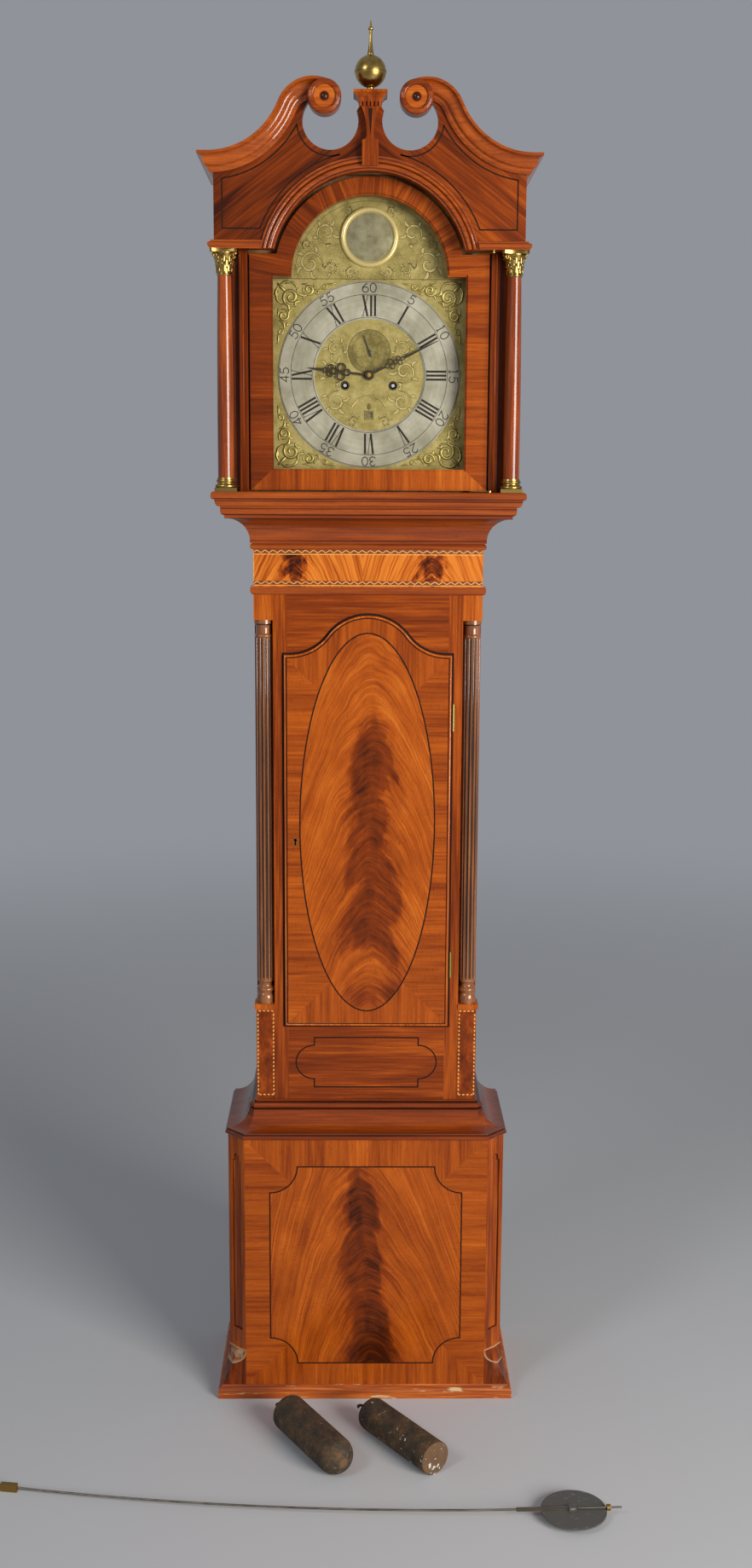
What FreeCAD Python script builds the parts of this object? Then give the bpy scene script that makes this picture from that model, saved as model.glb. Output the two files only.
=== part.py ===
import FreeCAD, Part
import math
import os
from FreeCAD import Vector

# Longcase clock. Sizes in millimetres; +Z is up, the front looks along -Y, the floor is Z = 0.

# Case
BACK_Y = 120.0
BACKBOARD = 15.0
BASE_WIDTH = 484.0
BASE_DEPTH = 240.0
BASE_HEIGHT = 460.0
PLINTH_HEIGHT = 24.0
PLINTH_OUT = 7.3
FRONT_PANEL = 16.0
SIDE_BOARD = 14.0
FLOOR_BOARD = 12.0
FOOT_FLARE = 12.0
FOOT_HEIGHT = 76.0
SUNK_PANEL_WIDTH = 24.0
WAIST_SET_BACK = 50.0
WAIST_HEIGHT = 56.0
WAIST_BEAD_OUT = 5.0

# Trunk
PEDESTAL_HEIGHT = 174.0
COLUMN_BASE_HEIGHT = 43.0
SHAFT_HEIGHT = 595.0
CAPITAL_HEIGHT = 30.0
HEAD_BLOCK_HEIGHT = 43.0
COLUMN_BLOCK = 32.0
COLUMN_RADIUS = 14.0
FLUTE_RADIUS = 2.4
STILE_DEPTH = 28.0
RAIL_DEPTH = 18.0
FRIEZE_BEAD = 13.0
FRIEZE_HEIGHT = 62.0
FRIEZE_CAP = 10.0
FRIEZE_OUT = 5.0
THROAT_HEIGHT = 57.0
THROAT_OUT = 50.0

# Trunk door
DOOR_WIDTH = 283.0
DOOR_SILL = 136.0
TOP_RAIL = 34.5
DOOR_RISE = 66.5
DOOR_CROWN_RADIUS = 84.0
DOOR_PROUD = 8.0
DOOR_BEAD = 4.0
DOOR_LIP = 5.5
DOOR_GAP = 1.5
DOOR_DEPTH = 24.0
HINGE_HEIGHT = 45.0
HINGE_RADIUS = 3.0
HINGE_PIN = 1.2
HINGE_LEAF = 1.6
LOW_HINGE = 88.0
HIGH_HINGE = 83.0
KEYHOLE_RISE = 331.0
KEYHOLE_SIDE = 18.5
LOCK_HEIGHT = 64.0
LOCK_WIDTH = 34.0
LOCK_DEPTH = 11.0

# Hood
HOOD_FRAME_HEIGHT = 27.0
HOOD_FRAME_OUT = 14.0
HOOD_CLEARANCE = 4.0
HOOD_BOARD = 14.0
POST_GAP = 0.5
HOOD_COLUMN_INSET = 24.0
HOOD_COLUMN_RADIUS = 13.4
HOOD_COLUMN_TAPER = 2.4
HOOD_WING = 11.0
HOOD_WING_INSET = 4.0
BRASS_BASE_HEIGHT = 22.0
BRASS_BASE_WIDTH = 36.0
BRASS_CAPITAL_HEIGHT = 40.0
BRASS_CAPITAL_WIDTH = 43.0
ENTABLATURE_INSET = 9.0
ENTABLATURE_BAND = 13.0
ENTABLATURE_HEIGHT = 144.0
PEDIMENT_BOARD = 16.0
ARCH_RADIUS = 156.0
ARCH_BAND = 22.0
BAND_OUT = 10.0
CORNICE_DROP = 30.0
CORNICE_OUT = 24.0
SWAN_LOW_RADIUS = 121.0
SWAN_HIGH_RADIUS = 60.0
SWAN_CREST_X = 88.6
SWAN_RISE = 110.7
ROUNDEL_X = 71.5
ROUNDEL_RISE = 80.5
ROUNDEL_RADIUS = 26.0
ROUNDEL_OUT = 30.0
VOID_X = 62.7
VOID_RISE = 50.0
VOID_RADIUS = 44.0
FINIAL_SEAT = 75.0
FINIAL_CAP = 16.0
FINIAL_CAP_WIDTH = 53.0
FINIAL_BALL = 24.3
FINIAL_SPIKE = 51.0
ROOF_BOARD = 10.0
ROOF_GAP = 1.0

# Hood door, dial and hands
HOOD_DOOR_RECESS = 30.0
HOOD_DOOR_DEPTH = 20.0
HOOD_DOOR_GAP = 3.0
GLAZED_WIDTH = 312.0
GLAZED_SILL = 34.0
GLAZED_HEIGHT = 305.0
GLAZED_ARCH = 126.0
SHOULDER_RAIL = 37.0
GLASS = 3.0
GLASS_REBATE = 6.0
HOOD_PIN = 2.0
STRAP_LENGTH = 28.0
STRAP_EYE = 4.0
STRAP = 2.0
MASK = 10.0
MASK_GAP = 1.0
DIAL_RECESS = 37.0
DIAL_PLATE = 2.5
DIAL_LAP = 6.0
RING_MARGIN = 4.0
RING_WIDTH = 57.2
RING_PLATE = 1.5
BOSS_RISE = 65.5
BOSS_RADIUS = 39.0
BEZEL_RADIUS = 47.5
SPANDREL_PLATE = 2.0
DATE_DROP = 64.0
DATE_INNER = 56.0
DATE_OUTER = 72.0
HOUR_HAND_LAP = 9.7
HOUR_HAND_DRAWN = 101.0
MINUTE_HAND_SHORT = 22.5
MINUTE_HAND_DRAWN = 126.0
SECONDS_HAND = 27.0
HAND_PLATE = 1.2
HOUR_ANGLE = 276.3
MINUTE_ANGLE = 64.0
SECONDS_ANGLE = 340.0

# Movement, placed from the dial centre
PLATE_GAP = 60.0
PLATE = 3.0
PLATE_WIDTH = 152.0
PLATE_DROP = 82.0
PLATE_RISE = 88.0
FRONT_PLATE_SET_BACK = 33.0
PILLAR_RADIUS = 6.0
PILLAR_X = 69.5
PILLAR_DROP = 70.0
PILLAR_RISE = 58.0
SEATBOARD = 20.0
SEATBOARD_DEPTH = 80.0
WIND_X = 39.5
WIND_DROP = 16.6
BARREL_RADIUS = 24.0
ESCAPE_RISE = 38.0
ESCAPE_RADIUS = 19.0
ANCHOR_RISE = 27.0
CRUTCH = 124.0
PIVOT_RADIUS = 1.2
ARBOR_RADIUS = 2.0
RUNNING_FIT = 0.05
WHEEL = 2.0
BELL_RADIUS = 42.0
BELL_HEIGHT = 32.0

# Loose pieces on the floor
ROUND_WEIGHT_RADIUS = 31.0
FLAT_WEIGHT_RADIUS = 28.0
ROUND_WEIGHT = 190.0
FLAT_WEIGHT = 180.0
ROUND_WEIGHT_X = -35.0
ROUND_WEIGHT_Y = -379.0
FLAT_WEIGHT_X = 115.0
FLAT_WEIGHT_Y = -361.0
HOOK_RADIUS = 11.0
HOOK_WIRE = 2.2
BOB_RADIUS = 52.0
BOB_DEPTH = 13.0
STRIP_HALF = 1.9
ROD_RADIUS = 1.7
ROD_LENGTH = 890.0
STRIP_LENGTH = 85.0
SPRING_LENGTH = 66.0
ROD_BEND_AT = 460.0
ROD_BEND = 31.0
ROD_SWAY = 91.0
PENDULUM_X = 328.0
PENDULUM_Y = -478.0

# Heights and faces worked out from the sizes above
base_half = BASE_WIDTH / 2
base_front = BACK_Y - BASE_DEPTH
back_inner = BACK_Y - BACKBOARD
base_top = PLINTH_HEIGHT + BASE_HEIGHT
cant = 0.6 * WAIST_SET_BACK
waist_top = base_top + WAIST_HEIGHT
trunk_half = base_half - WAIST_SET_BACK
trunk_front = base_front + WAIST_SET_BACK
pedestal_top = waist_top + PEDESTAL_HEIGHT
shaft_bottom = pedestal_top + COLUMN_BASE_HEIGHT
shaft_top = shaft_bottom + SHAFT_HEIGHT
head_bottom = shaft_top + CAPITAL_HEIGHT
trunk_top = head_bottom + HEAD_BLOCK_HEIGHT
frieze_bottom = trunk_top + FRIEZE_BEAD
frieze_top = frieze_bottom + FRIEZE_HEIGHT
throat_bottom = frieze_top + FRIEZE_CAP
throat_top = throat_bottom + THROAT_HEIGHT
hood_floor = throat_top + HOOD_FRAME_HEIGHT
stile_edge = DOOR_WIDTH / 2 - DOOR_LIP
column_edge = trunk_half - COLUMN_BLOCK
frame_half = trunk_half + THROAT_OUT + HOOD_FRAME_OUT
frame_front = trunk_front - THROAT_OUT - HOOD_FRAME_OUT
hood_inner = trunk_half + HOOD_CLEARANCE
hood_half = frame_half - ENTABLATURE_INSET
hood_front = frame_front + ENTABLATURE_INSET
board_back = hood_front + PEDIMENT_BOARD
column_x = frame_half - HOOD_COLUMN_INSET
column_y = frame_front + HOOD_COLUMN_INSET
hood_door_half = hood_inner - HOOD_DOOR_GAP
hood_door_front = hood_front + HOOD_DOOR_RECESS
hood_door_back = hood_door_front + HOOD_DOOR_DEPTH
dial_front = hood_door_front + DIAL_RECESS
dial_back = dial_front + DIAL_PLATE
glazed_bottom = hood_floor + HOOD_DOOR_GAP + GLAZED_SILL
arch_z = glazed_bottom + GLAZED_HEIGHT
entablature = arch_z + SHOULDER_RAIL
cornice_top = entablature + ENTABLATURE_HEIGHT
roof_bottom = arch_z + ARCH_RADIUS + ROOF_GAP
dial_z = glazed_bottom + GLAZED_HEIGHT / 2
ring_outer = min(GLAZED_WIDTH, GLAZED_HEIGHT) / 2 - RING_MARGIN
ring_inner = ring_outer - RING_WIDTH
boss_z = arch_z + BOSS_RISE
front_plate = dial_back + FRONT_PLATE_SET_BACK - PLATE - DIAL_PLATE
plate_in = front_plate + PLATE
back_plate = plate_in + PLATE_GAP
plate_out = back_plate + PLATE
seat_top = dial_z - PLATE_DROP
door_bottom = waist_top + DOOR_SILL
door_shoulder = trunk_top - TOP_RAIL - DOOR_RISE
hinge_x = DOOR_WIDTH / 2 + HINGE_RADIUS + 0.3
hinge_y = trunk_front - HINGE_RADIUS - 1.5
pin_x = hood_door_half + STRAP_EYE
post_edge = column_x - BRASS_CAPITAL_WIDTH / 2 - POST_GAP
pin_y = hood_door_front - (HOOD_DOOR_RECESS + BAND_OUT) / 2


def block(x, y, z):
    """Box from three (low, high) pairs."""
    return Part.makeBox(x[1] - x[0], y[1] - y[0], z[1] - z[0], Vector(x[0], y[0], z[0]))


def rod(radius, start, end):
    """Cylinder between two points."""
    way = Vector(*end) - Vector(*start)
    return Part.makeCylinder(radius, way.Length, Vector(*start), way)


def mirrored(shape):
    """The same shape on the other side of the middle plane."""
    return shape.mirror(Vector(0, 0, 0), Vector(1, 0, 0))


def both(shape):
    """A shape and its mirror image."""
    return [shape, mirrored(shape)]


def fused(first, *others):
    """One solid out of touching or crossing pieces."""
    return first.fuse(list(others)).removeSplitter()


def polar(centre, radius, degrees):
    """Point on a circle in a flat outline."""
    turn = math.radians(degrees)
    return (centre[0] + radius * math.cos(turn), centre[1] + radius * math.sin(turn))


def outline(place, steps):
    """Closed wire. A step is a point, or a pair (through, end) for an arc."""
    edges = []
    here = steps[0]
    for step in steps[1:] + [steps[0]]:
        if isinstance(step[0], tuple):
            edges.append(Part.Arc(place(*here), place(*step[0]), place(*step[1])).toShape())
            here = step[1]
        elif math.dist(here, step) > 1e-6:
            edges.append(Part.LineSegment(place(*here), place(*step)).toShape())
            here = step
    return Part.Wire(edges)


def plate(steps, y):
    """Flat piece with a front outline in X and Z, between two Y values."""
    face = Part.Face(outline(lambda u, v: Vector(u, y[0], v), steps))
    return face.extrude(Vector(0, y[1] - y[0], 0))


def slab(steps, z):
    """Flat piece with a plan outline in X and Y, between two heights."""
    face = Part.Face(outline(lambda u, v: Vector(u, v, z[0]), steps))
    return face.extrude(Vector(0, 0, z[1] - z[0]))


def turned(steps, foot=(0, 0, 0)):
    """Round piece from a half profile of (radius, height), standing on foot."""
    face = Part.Face(outline(lambda u, v: Vector(u, 0, v), steps))
    piece = face.revolve(Vector(0, 0, 0), Vector(0, 0, 1), 360)
    piece.translate(Vector(*foot))
    return piece


def dome(radius, low, high):
    """Arc step of a round cap centred on the axis, from (radius, low) to (0, high)."""
    rise = high - low
    ball = (radius * radius + rise * rise) / (2 * rise)
    half = math.asin(radius / abs(ball)) / 2
    return ((abs(ball) * math.sin(half), high - ball * (1 - math.cos(half))), (0, high))


def laid_back(piece, x, y, z):
    """Turn an upright piece so that its axis runs along +Y, and place its foot."""
    piece.rotate(Vector(0, 0, 0), Vector(1, 0, 0), -90)
    piece.translate(Vector(x, y, z))
    return piece


def moulding(profile, plan):
    """Mitred solids, one per run of plan; profile is (outwards, up), outwards is right of travel."""
    face = Part.Face(outline(lambda u, v: Vector(u, 0, v), profile))
    box = face.BoundBox
    points = [Vector(x, y, 0) for x, y in plan]
    ways = [(b - a).normalize() for a, b in zip(points, points[1:])]
    outs = [Vector(way.y, -way.x, 0) for way in ways]
    mitres = [outs[0]]
    for one, two in zip(outs, outs[1:]):
        mitres.append((one + two) * (1.0 / (1.0 + one.dot(two))))
    mitres.append(outs[-1])
    solids = []
    for i, way in enumerate(ways):
        length = (points[i + 1] - points[i]).Length
        spare = abs(box.XMax) + abs(box.XMin) + 1.0
        run = face.extrude(Vector(0, length + 2 * spare, 0))
        run.rotate(Vector(0, 0, 0), Vector(0, 0, 1), math.degrees(math.atan2(outs[i].y, outs[i].x)))
        run.translate(points[i] - way * spare)
        corners = []
        for end, reach in ((i, box.XMin), (i + 1, box.XMin), (i + 1, box.XMax), (i, box.XMax)):
            corner = points[end] + mitres[end] * reach
            corners.append((corner.x, corner.y))
        wedge = slab(corners, (box.ZMin - 1, box.ZMax + 1))
        solids.extend(run.common(wedge).Solids)
    return solids


def bent_moulding(profile, centre, start, end):
    """Moulding round an arc; profile is (radius, outwards) from the hood front."""
    turn = math.radians(start)

    def place(radius, out):
        return Vector(centre[0] + radius * math.cos(turn), hood_front - out, centre[1] + radius * math.sin(turn))

    face = Part.Face(outline(place, profile))
    return face.revolve(Vector(centre[0], 0, centre[1]), Vector(0, -1, 0), end - start)


def base_front_panel():
    half = base_half - cant
    return [block((-half, half), (base_front, base_front + FRONT_PANEL), (PLINTH_HEIGHT, base_top))]


def foot_levels():
    """Height and flare of the foot at its top, middle and bottom."""
    top = PLINTH_HEIGHT + FOOT_HEIGHT
    return ((top, 0.0), (PLINTH_HEIGHT + FOOT_HEIGHT / 2, 0.35), (PLINTH_HEIGHT, 1.0))


def base_corner_posts():
    near = (base_half - cant, base_front)
    far = (base_half, base_front + cant)
    inner = [(base_half - SIDE_BOARD, far[1]), (near[0], base_front + FRONT_PANEL)]
    levels = foot_levels()
    post = slab([near, far] + inner, (levels[0][0], base_top))
    sections = []
    for z, share in levels:
        flare = FOOT_FLARE * share
        nose = ((near[0] + far[0]) / 2 * (1 - share) + (base_half + FOOT_FLARE) * share,
                (near[1] + far[1]) / 2 * (1 - share) + base_front * share)
        ring = [near, nose, (far[0] + flare, far[1])] + inner
        sections.append(outline(lambda u, v, z=z: Vector(u, v, z), ring))
    foot = Part.makeLoft(sections, True, True)
    # Sunk panel with a notched arched head on the cant
    half = SUNK_PANEL_WIDTH / 2
    low = levels[0][0] + 24.0
    high = base_top - 44.0
    notch = half - 4.0
    sunk = plate([(-half, low), (half, low), (half, high), (notch, high), (notch, high + 4),
                  ((0, high + 4 + notch), (-notch, high + 4)), (-notch, high), (-half, high)], (-5.0, 2.5))
    sunk.rotate(Vector(0, 0, 0), Vector(0, 0, 1), 45)
    sunk.translate(Vector((near[0] + far[0]) / 2, (near[1] + far[1]) / 2, 0))
    return both(post.cut(sunk)) + both(foot)


def base_carcase():
    inner = base_half - SIDE_BOARD
    levels = foot_levels()
    profile = [(inner, PLINTH_HEIGHT)]
    for z, share in reversed(levels):
        profile.append((base_half + FOOT_FLARE * share, z))
    profile += [(base_half, base_top), (inner, base_top)]
    side = plate(profile, (base_front + cant, back_inner))
    floor = block((-base_half, base_half), (base_front + FOOT_FLARE, back_inner), (0, FLOOR_BOARD))
    return both(side) + [floor]


def base_plinth_moulding():
    h = PLINTH_HEIGHT
    profile = [(-FOOT_FLARE, 0), (PLINTH_OUT, 0), (PLINTH_OUT, 0.55 * h),
               ((PLINTH_OUT - 1.2, 0.75 * h), (PLINTH_OUT - 4, 0.84 * h)), (PLINTH_OUT - 6, 0.84 * h),
               (PLINTH_OUT - 7, h), (-FOOT_FLARE, h)]
    half = base_half + FOOT_FLARE
    return moulding(profile, [(-half, BACK_Y), (-half, base_front), (half, base_front), (half, BACK_Y)])


def waist_moulding():
    z = base_top
    h = WAIST_HEIGHT
    deep = WAIST_SET_BACK
    lean = 0.707
    sweep = 0.76 * deep
    rise = 0.55 * h
    bead = WAIST_BEAD_OUT - 3
    profile = [(-deep, z), (bead, z), ((bead + 3, z + 4), (bead, z + 8)), (1, z + 8), (1, z + 11)]
    profile += [((1 - sweep * lean, z + 11 + rise * (1 - lean)), (1 - sweep, z + 11 + rise))]
    profile += [(-deep + 9, z + 11 + rise), ((-deep + 13, h + z - 8), (-deep + 9, h + z - 3)),
                (-deep + 4, h + z - 3), (-deep + 4, h + z), (-deep, h + z)]
    plan = [(base_half - cant, base_front), (base_half, base_front + cant), (base_half, back_inner)]
    return moulding(profile, [(-x, y) for x, y in reversed(plan)] + plan)


def backboard():
    hood_part = hood_inner - HOOD_CLEARANCE - 2.0
    points = [(base_half, 0), (base_half, base_top), (trunk_half, base_top), (trunk_half, throat_top),
              (hood_part, throat_top), (hood_part, roof_bottom - 12.0)]
    return [plate(points + [(-x, z) for x, z in reversed(points)], (back_inner, BACK_Y))]


def trunk_sides():
    y = (trunk_front + COLUMN_BLOCK, back_inner)
    lower = block((trunk_half - SIDE_BOARD, trunk_half), y, (base_top, seat_top - SEATBOARD))
    return both(lower)


def trunk_stiles():
    stile = block((stile_edge, column_edge), (trunk_front, trunk_front + COLUMN_BLOCK), (waist_top, trunk_top))
    batten = block((stile_edge + 6, trunk_half - SIDE_BOARD),
                   (trunk_front + COLUMN_BLOCK, trunk_front + COLUMN_BLOCK + 10), (waist_top, trunk_top))
    stile = fused(stile, batten)
    right = stile
    for z in hinge_heights():
        right = right.cut(hinge_leaf_fixed(z))
    return [right, mirrored(stile)]


def door_outline(inset):
    """Front outline of the trunk door, drawn in by inset all round."""
    half = DOOR_WIDTH / 2
    low = door_bottom + inset
    shoulder = door_shoulder
    start = half - 8.5
    turn = 2 * math.degrees(math.atan(DOOR_RISE / start))
    total = start / math.sin(math.radians(turn))
    hollow = (start, shoulder + total - DOOR_CROWN_RADIUS)
    crown = (0, shoulder + DOOR_RISE - DOOR_CROWN_RADIUS)
    big = total - DOOR_CROWN_RADIUS + inset
    small = DOOR_CROWN_RADIUS - inset
    right = [(half - inset, low), (half - inset, shoulder - inset), (start, shoulder - inset),
             (polar(hollow, big, 270 - turn / 2), polar(hollow, big, 270 - turn))]
    left = [(polar((-hollow[0], hollow[1]), big, 270 + turn / 2), (-start, shoulder - inset)),
            (-half + inset, shoulder - inset), (-half + inset, low)]
    return right + [((0, crown[1] + small), polar(crown, small, 90 + turn))] + left


def trunk_rails():
    y = (trunk_front, trunk_front + RAIL_DEPTH)
    low = block((-stile_edge, stile_edge), y, (waist_top, door_bottom + DOOR_LIP))
    top = block((-stile_edge, stile_edge), y, (door_shoulder - DOOR_LIP, trunk_top))
    top = top.cut(plate(door_outline(DOOR_LIP), (y[0] - 1, y[1] + 1)))
    return [low] + top.Solids


def trunk_column_blocks():
    x = (column_edge, trunk_half)
    y = (trunk_front, trunk_front + COLUMN_BLOCK)
    pedestal = block(x, y, (waist_top, pedestal_top - 9))
    cap = block((x[0], x[1] + 3), (y[0] - 3, y[1]), (pedestal_top - 9, pedestal_top))
    head = block(x, y, (head_bottom, trunk_top))
    return both(fused(pedestal, cap)) + both(head)


def trunk_columns():
    centre = (trunk_half - COLUMN_BLOCK / 2, trunk_front + COLUMN_BLOCK / 2)
    r = COLUMN_RADIUS
    shaft = Part.makeCylinder(r, SHAFT_HEIGHT, Vector(0, 0, 0))
    flutes = []
    for i in range(12):
        x, y = polar((0, 0), r + 0.5, 15 + 30 * i)
        flutes.append(Part.makeCylinder(FLUTE_RADIUS, SHAFT_HEIGHT, Vector(x, y, 0)))
    shaft = shaft.cut(flutes)
    shaft.translate(Vector(centre[0], centre[1], shaft_bottom))
    h = COLUMN_BASE_HEIGHT
    out = COLUMN_BLOCK / 2
    low = turned([(0, 0), (out, 0), (out, 0.16 * h), ((out - 1, 0.3 * h), (r - 1, 0.4 * h)), (r - 1, 0.46 * h),
                  ((r + 2, 0.56 * h), (r - 1, 0.66 * h)), ((r - 3, 0.78 * h), (r - 1, 0.88 * h)),
                  (r, 0.9 * h), (r, h), (0, h)], (centre[0], centre[1], pedestal_top))
    h = CAPITAL_HEIGHT
    high = turned([(0, 0), (r, 0), ((r + 1.6, 0.1 * h), (r, 0.2 * h)), (r - 1, 0.24 * h), (r - 1, 0.5 * h),
                   ((r - 0.4, 0.68 * h), (out - 1, 0.76 * h)), (out, 0.78 * h), (out, h), (0, h)],
                  (centre[0], centre[1], shaft_top))
    return both(shaft) + both(low) + both(high)


def case_run(profile):
    """Moulding round the front and sides of the trunk."""
    return moulding(profile, [(-trunk_half, BACK_Y), (-trunk_half, trunk_front),
                              (trunk_half, trunk_front), (trunk_half, BACK_Y)])


def frieze_board():
    y = (trunk_front, trunk_front + COLUMN_BLOCK)
    return [block((-trunk_half, trunk_half), y, (trunk_top, throat_top))]


def throat_mouldings():
    out = FRIEZE_OUT
    z = trunk_top
    h = FRIEZE_BEAD
    bead = [(0, z), (1.5, z), ((out, z + 0.35 * h), (out - 0.5, z + 0.75 * h)), (out, z + 0.78 * h),
            (out, z + h), (0, z + h)]
    z = frieze_top
    h = FRIEZE_CAP
    cap = [(0, z), (2, z), ((out, z + 0.5 * h), (2, z + 0.9 * h)), (2, z + h), (0, z + h)]
    z = throat_bottom
    h = THROAT_HEIGHT
    sweep = THROAT_OUT - 13.0
    start = 5.0
    centre = (start + sweep, z + 4)
    rise = h - 20.0
    cove = [(0, z), (start, z), (start, z + 4)]
    cove += [((centre[0] - sweep * 0.707, centre[1] + rise * 0.707), (centre[0], centre[1] + rise))]
    cove += [(centre[0] + 2, centre[1] + rise), (centre[0] + 2, centre[1] + rise + 5),
             ((THROAT_OUT - 1.5, centre[1] + rise + 7), (THROAT_OUT, centre[1] + rise + 12)),
             (THROAT_OUT, z + h), (0, z + h)]
    return case_run(bead) + case_run(cap) + case_run(cove)


def hinge_heights():
    """Bottom of each trunk door hinge."""
    return (door_bottom + LOW_HINGE, door_shoulder - HIGH_HINGE - HINGE_HEIGHT)


def hinge_leaf_fixed(z):
    """Leaf let into the stile."""
    return block((hinge_x - HINGE_LEAF / 2, hinge_x + HINGE_LEAF / 2), (hinge_y + HINGE_PIN + 1, trunk_front + 12),
                 (z + HINGE_HEIGHT / 3 + 0.2, z + 2 * HINGE_HEIGHT / 3 - 0.2))


def hinge_leaf_door(z):
    """Leaf let into the door."""
    return block((hinge_x - 17, hinge_x - HINGE_PIN - 0.2), (hinge_y - HINGE_LEAF / 2, hinge_y + HINGE_LEAF / 2),
                 (z + 1, z + HINGE_HEIGHT - 1))


def trunk_hinges_fixed():
    pieces = []
    for z in hinge_heights():
        leaf = hinge_leaf_fixed(z)
        low = (hinge_x, hinge_y, z + HINGE_HEIGHT / 3 + 0.2)
        high = (hinge_x, hinge_y, z + 2 * HINGE_HEIGHT / 3 - 0.2)
        knuckle = fused(rod(HINGE_RADIUS, low, high), leaf)
        pieces.append(knuckle.cut(rod(HINGE_PIN + RUNNING_FIT, low, high)))
    return pieces


def trunk_hinges_door():
    pieces = []
    for z in hinge_heights():
        third = HINGE_HEIGHT / 3
        low = rod(HINGE_RADIUS, (hinge_x, hinge_y, z), (hinge_x, hinge_y, z + third))
        high = rod(HINGE_RADIUS, (hinge_x, hinge_y, z + 2 * third), (hinge_x, hinge_y, z + HINGE_HEIGHT))
        pin = rod(HINGE_PIN, (hinge_x, hinge_y, z - 1.5), (hinge_x, hinge_y, z + HINGE_HEIGHT + 1.5))
        leaf = hinge_leaf_door(z)
        gap = rod(HINGE_RADIUS + 0.3, (hinge_x, hinge_y, z + third), (hinge_x, hinge_y, z + 2 * third))
        pieces.append(fused(low, high, pin, leaf.cut(gap)))
    return pieces


def trunk_door_panel():
    face = trunk_front - DOOR_PROUD
    back = face + DOOR_DEPTH
    lip = plate(door_outline(0), (face + 3, trunk_front))
    proud = plate(door_outline(DOOR_BEAD), (face, face + 3))
    core = plate(door_outline(DOOR_LIP + DOOR_GAP), (trunk_front, back))
    panel = fused(lip, proud, core)
    for z in hinge_heights():
        panel = panel.cut(hinge_leaf_door(z))
    x = -DOOR_WIDTH / 2 + KEYHOLE_SIDE
    z = door_bottom + KEYHOLE_RISE
    keyway = fused(rod(2.6, (x, face - 1, z), (x, back + 1, z)),
                   block((x - 1.3, x + 1.3), (face - 1, back + 1), (z - 9, z)))
    return [panel.cut(keyway)]


def trunk_lock():
    x = -DOOR_WIDTH / 2 + KEYHOLE_SIDE
    z = door_bottom + KEYHOLE_RISE
    back = trunk_front - DOOR_PROUD + DOOR_DEPTH
    left = -DOOR_WIDTH / 2 + DOOR_LIP + DOOR_GAP + 0.5
    case = block((left, left + LOCK_WIDTH), (back, back + LOCK_DEPTH), (z - LOCK_HEIGHT / 2, z + LOCK_HEIGHT / 2))
    bolt = block((left + 2, left + 14), (back + LOCK_DEPTH, back + LOCK_DEPTH + 3), (z - 12, z + 12))
    return [fused(case, bolt).cut(rod(2.6, (x, back - 1, z), (x, back + 6, z)))]


def hood_run(profile):
    """Moulding round the front and sides of the hood's top."""
    return moulding(profile, [(-hood_half, BACK_Y), (-hood_half, hood_front), (hood_half, hood_front),
                              (hood_half, BACK_Y)])


def hood_base_frame():
    z = throat_top
    h = HOOD_FRAME_HEIGHT
    inner = -(frame_half - hood_inner)
    out = -HOOD_FRAME_OUT
    profile = [(inner, z), (out, z), (out, z + 3), ((out + 6, z + 5), (out + 8, z + 11)), (out + 9, z + 12),
               (out + 9, z + 15), ((0, z + 17), (0, z + 21)), ((-0.6, z + 24.5), (-4, z + h)), (inner, z + h)]
    runs = moulding(profile, [(-frame_half, BACK_Y), (-frame_half, frame_front), (frame_half, frame_front),
                              (frame_half, BACK_Y)])
    hole = rod(HOOD_PIN + RUNNING_FIT, (pin_x, pin_y, z + h - 9), (pin_x, pin_y, z + h + 1))
    return [run.cut(hole) for run in runs]


def hood_side_frames():
    side = block((hood_inner, hood_inner + HOOD_BOARD), (hood_door_back, BACK_Y), (hood_floor, entablature))
    post = block((hood_inner, post_edge), (hood_door_front, hood_door_back), (hood_floor, entablature))
    wing = block((post_edge - 1, hood_half - HOOD_WING_INSET), (hood_door_back - HOOD_WING, hood_door_back),
                 (hood_floor, entablature))
    fascia = block((hood_half - HOOD_BOARD, hood_half), (board_back, BACK_Y), (entablature, cornice_top - 15))
    soffit = block((hood_inner, hood_half - HOOD_BOARD), (board_back, BACK_Y), (entablature, entablature + 10))
    return both(side) + both(fused(post, wing)) + both(fascia) + both(soffit)


def swan_curve(drop):
    """Centres, radii and turn of the swan neck's two arcs, a drop below its top edge (left side)."""
    total = SWAN_LOW_RADIUS + SWAN_HIGH_RADIUS
    turn = math.degrees(math.acos(1 - SWAN_RISE / total))
    start = SWAN_CREST_X + total * math.sin(math.radians(turn))
    low = (-start, cornice_top + SWAN_LOW_RADIUS)
    high = (-SWAN_CREST_X, cornice_top + SWAN_RISE - SWAN_HIGH_RADIUS)
    return low, SWAN_LOW_RADIUS + drop, high, SWAN_HIGH_RADIUS - drop, turn


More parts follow.
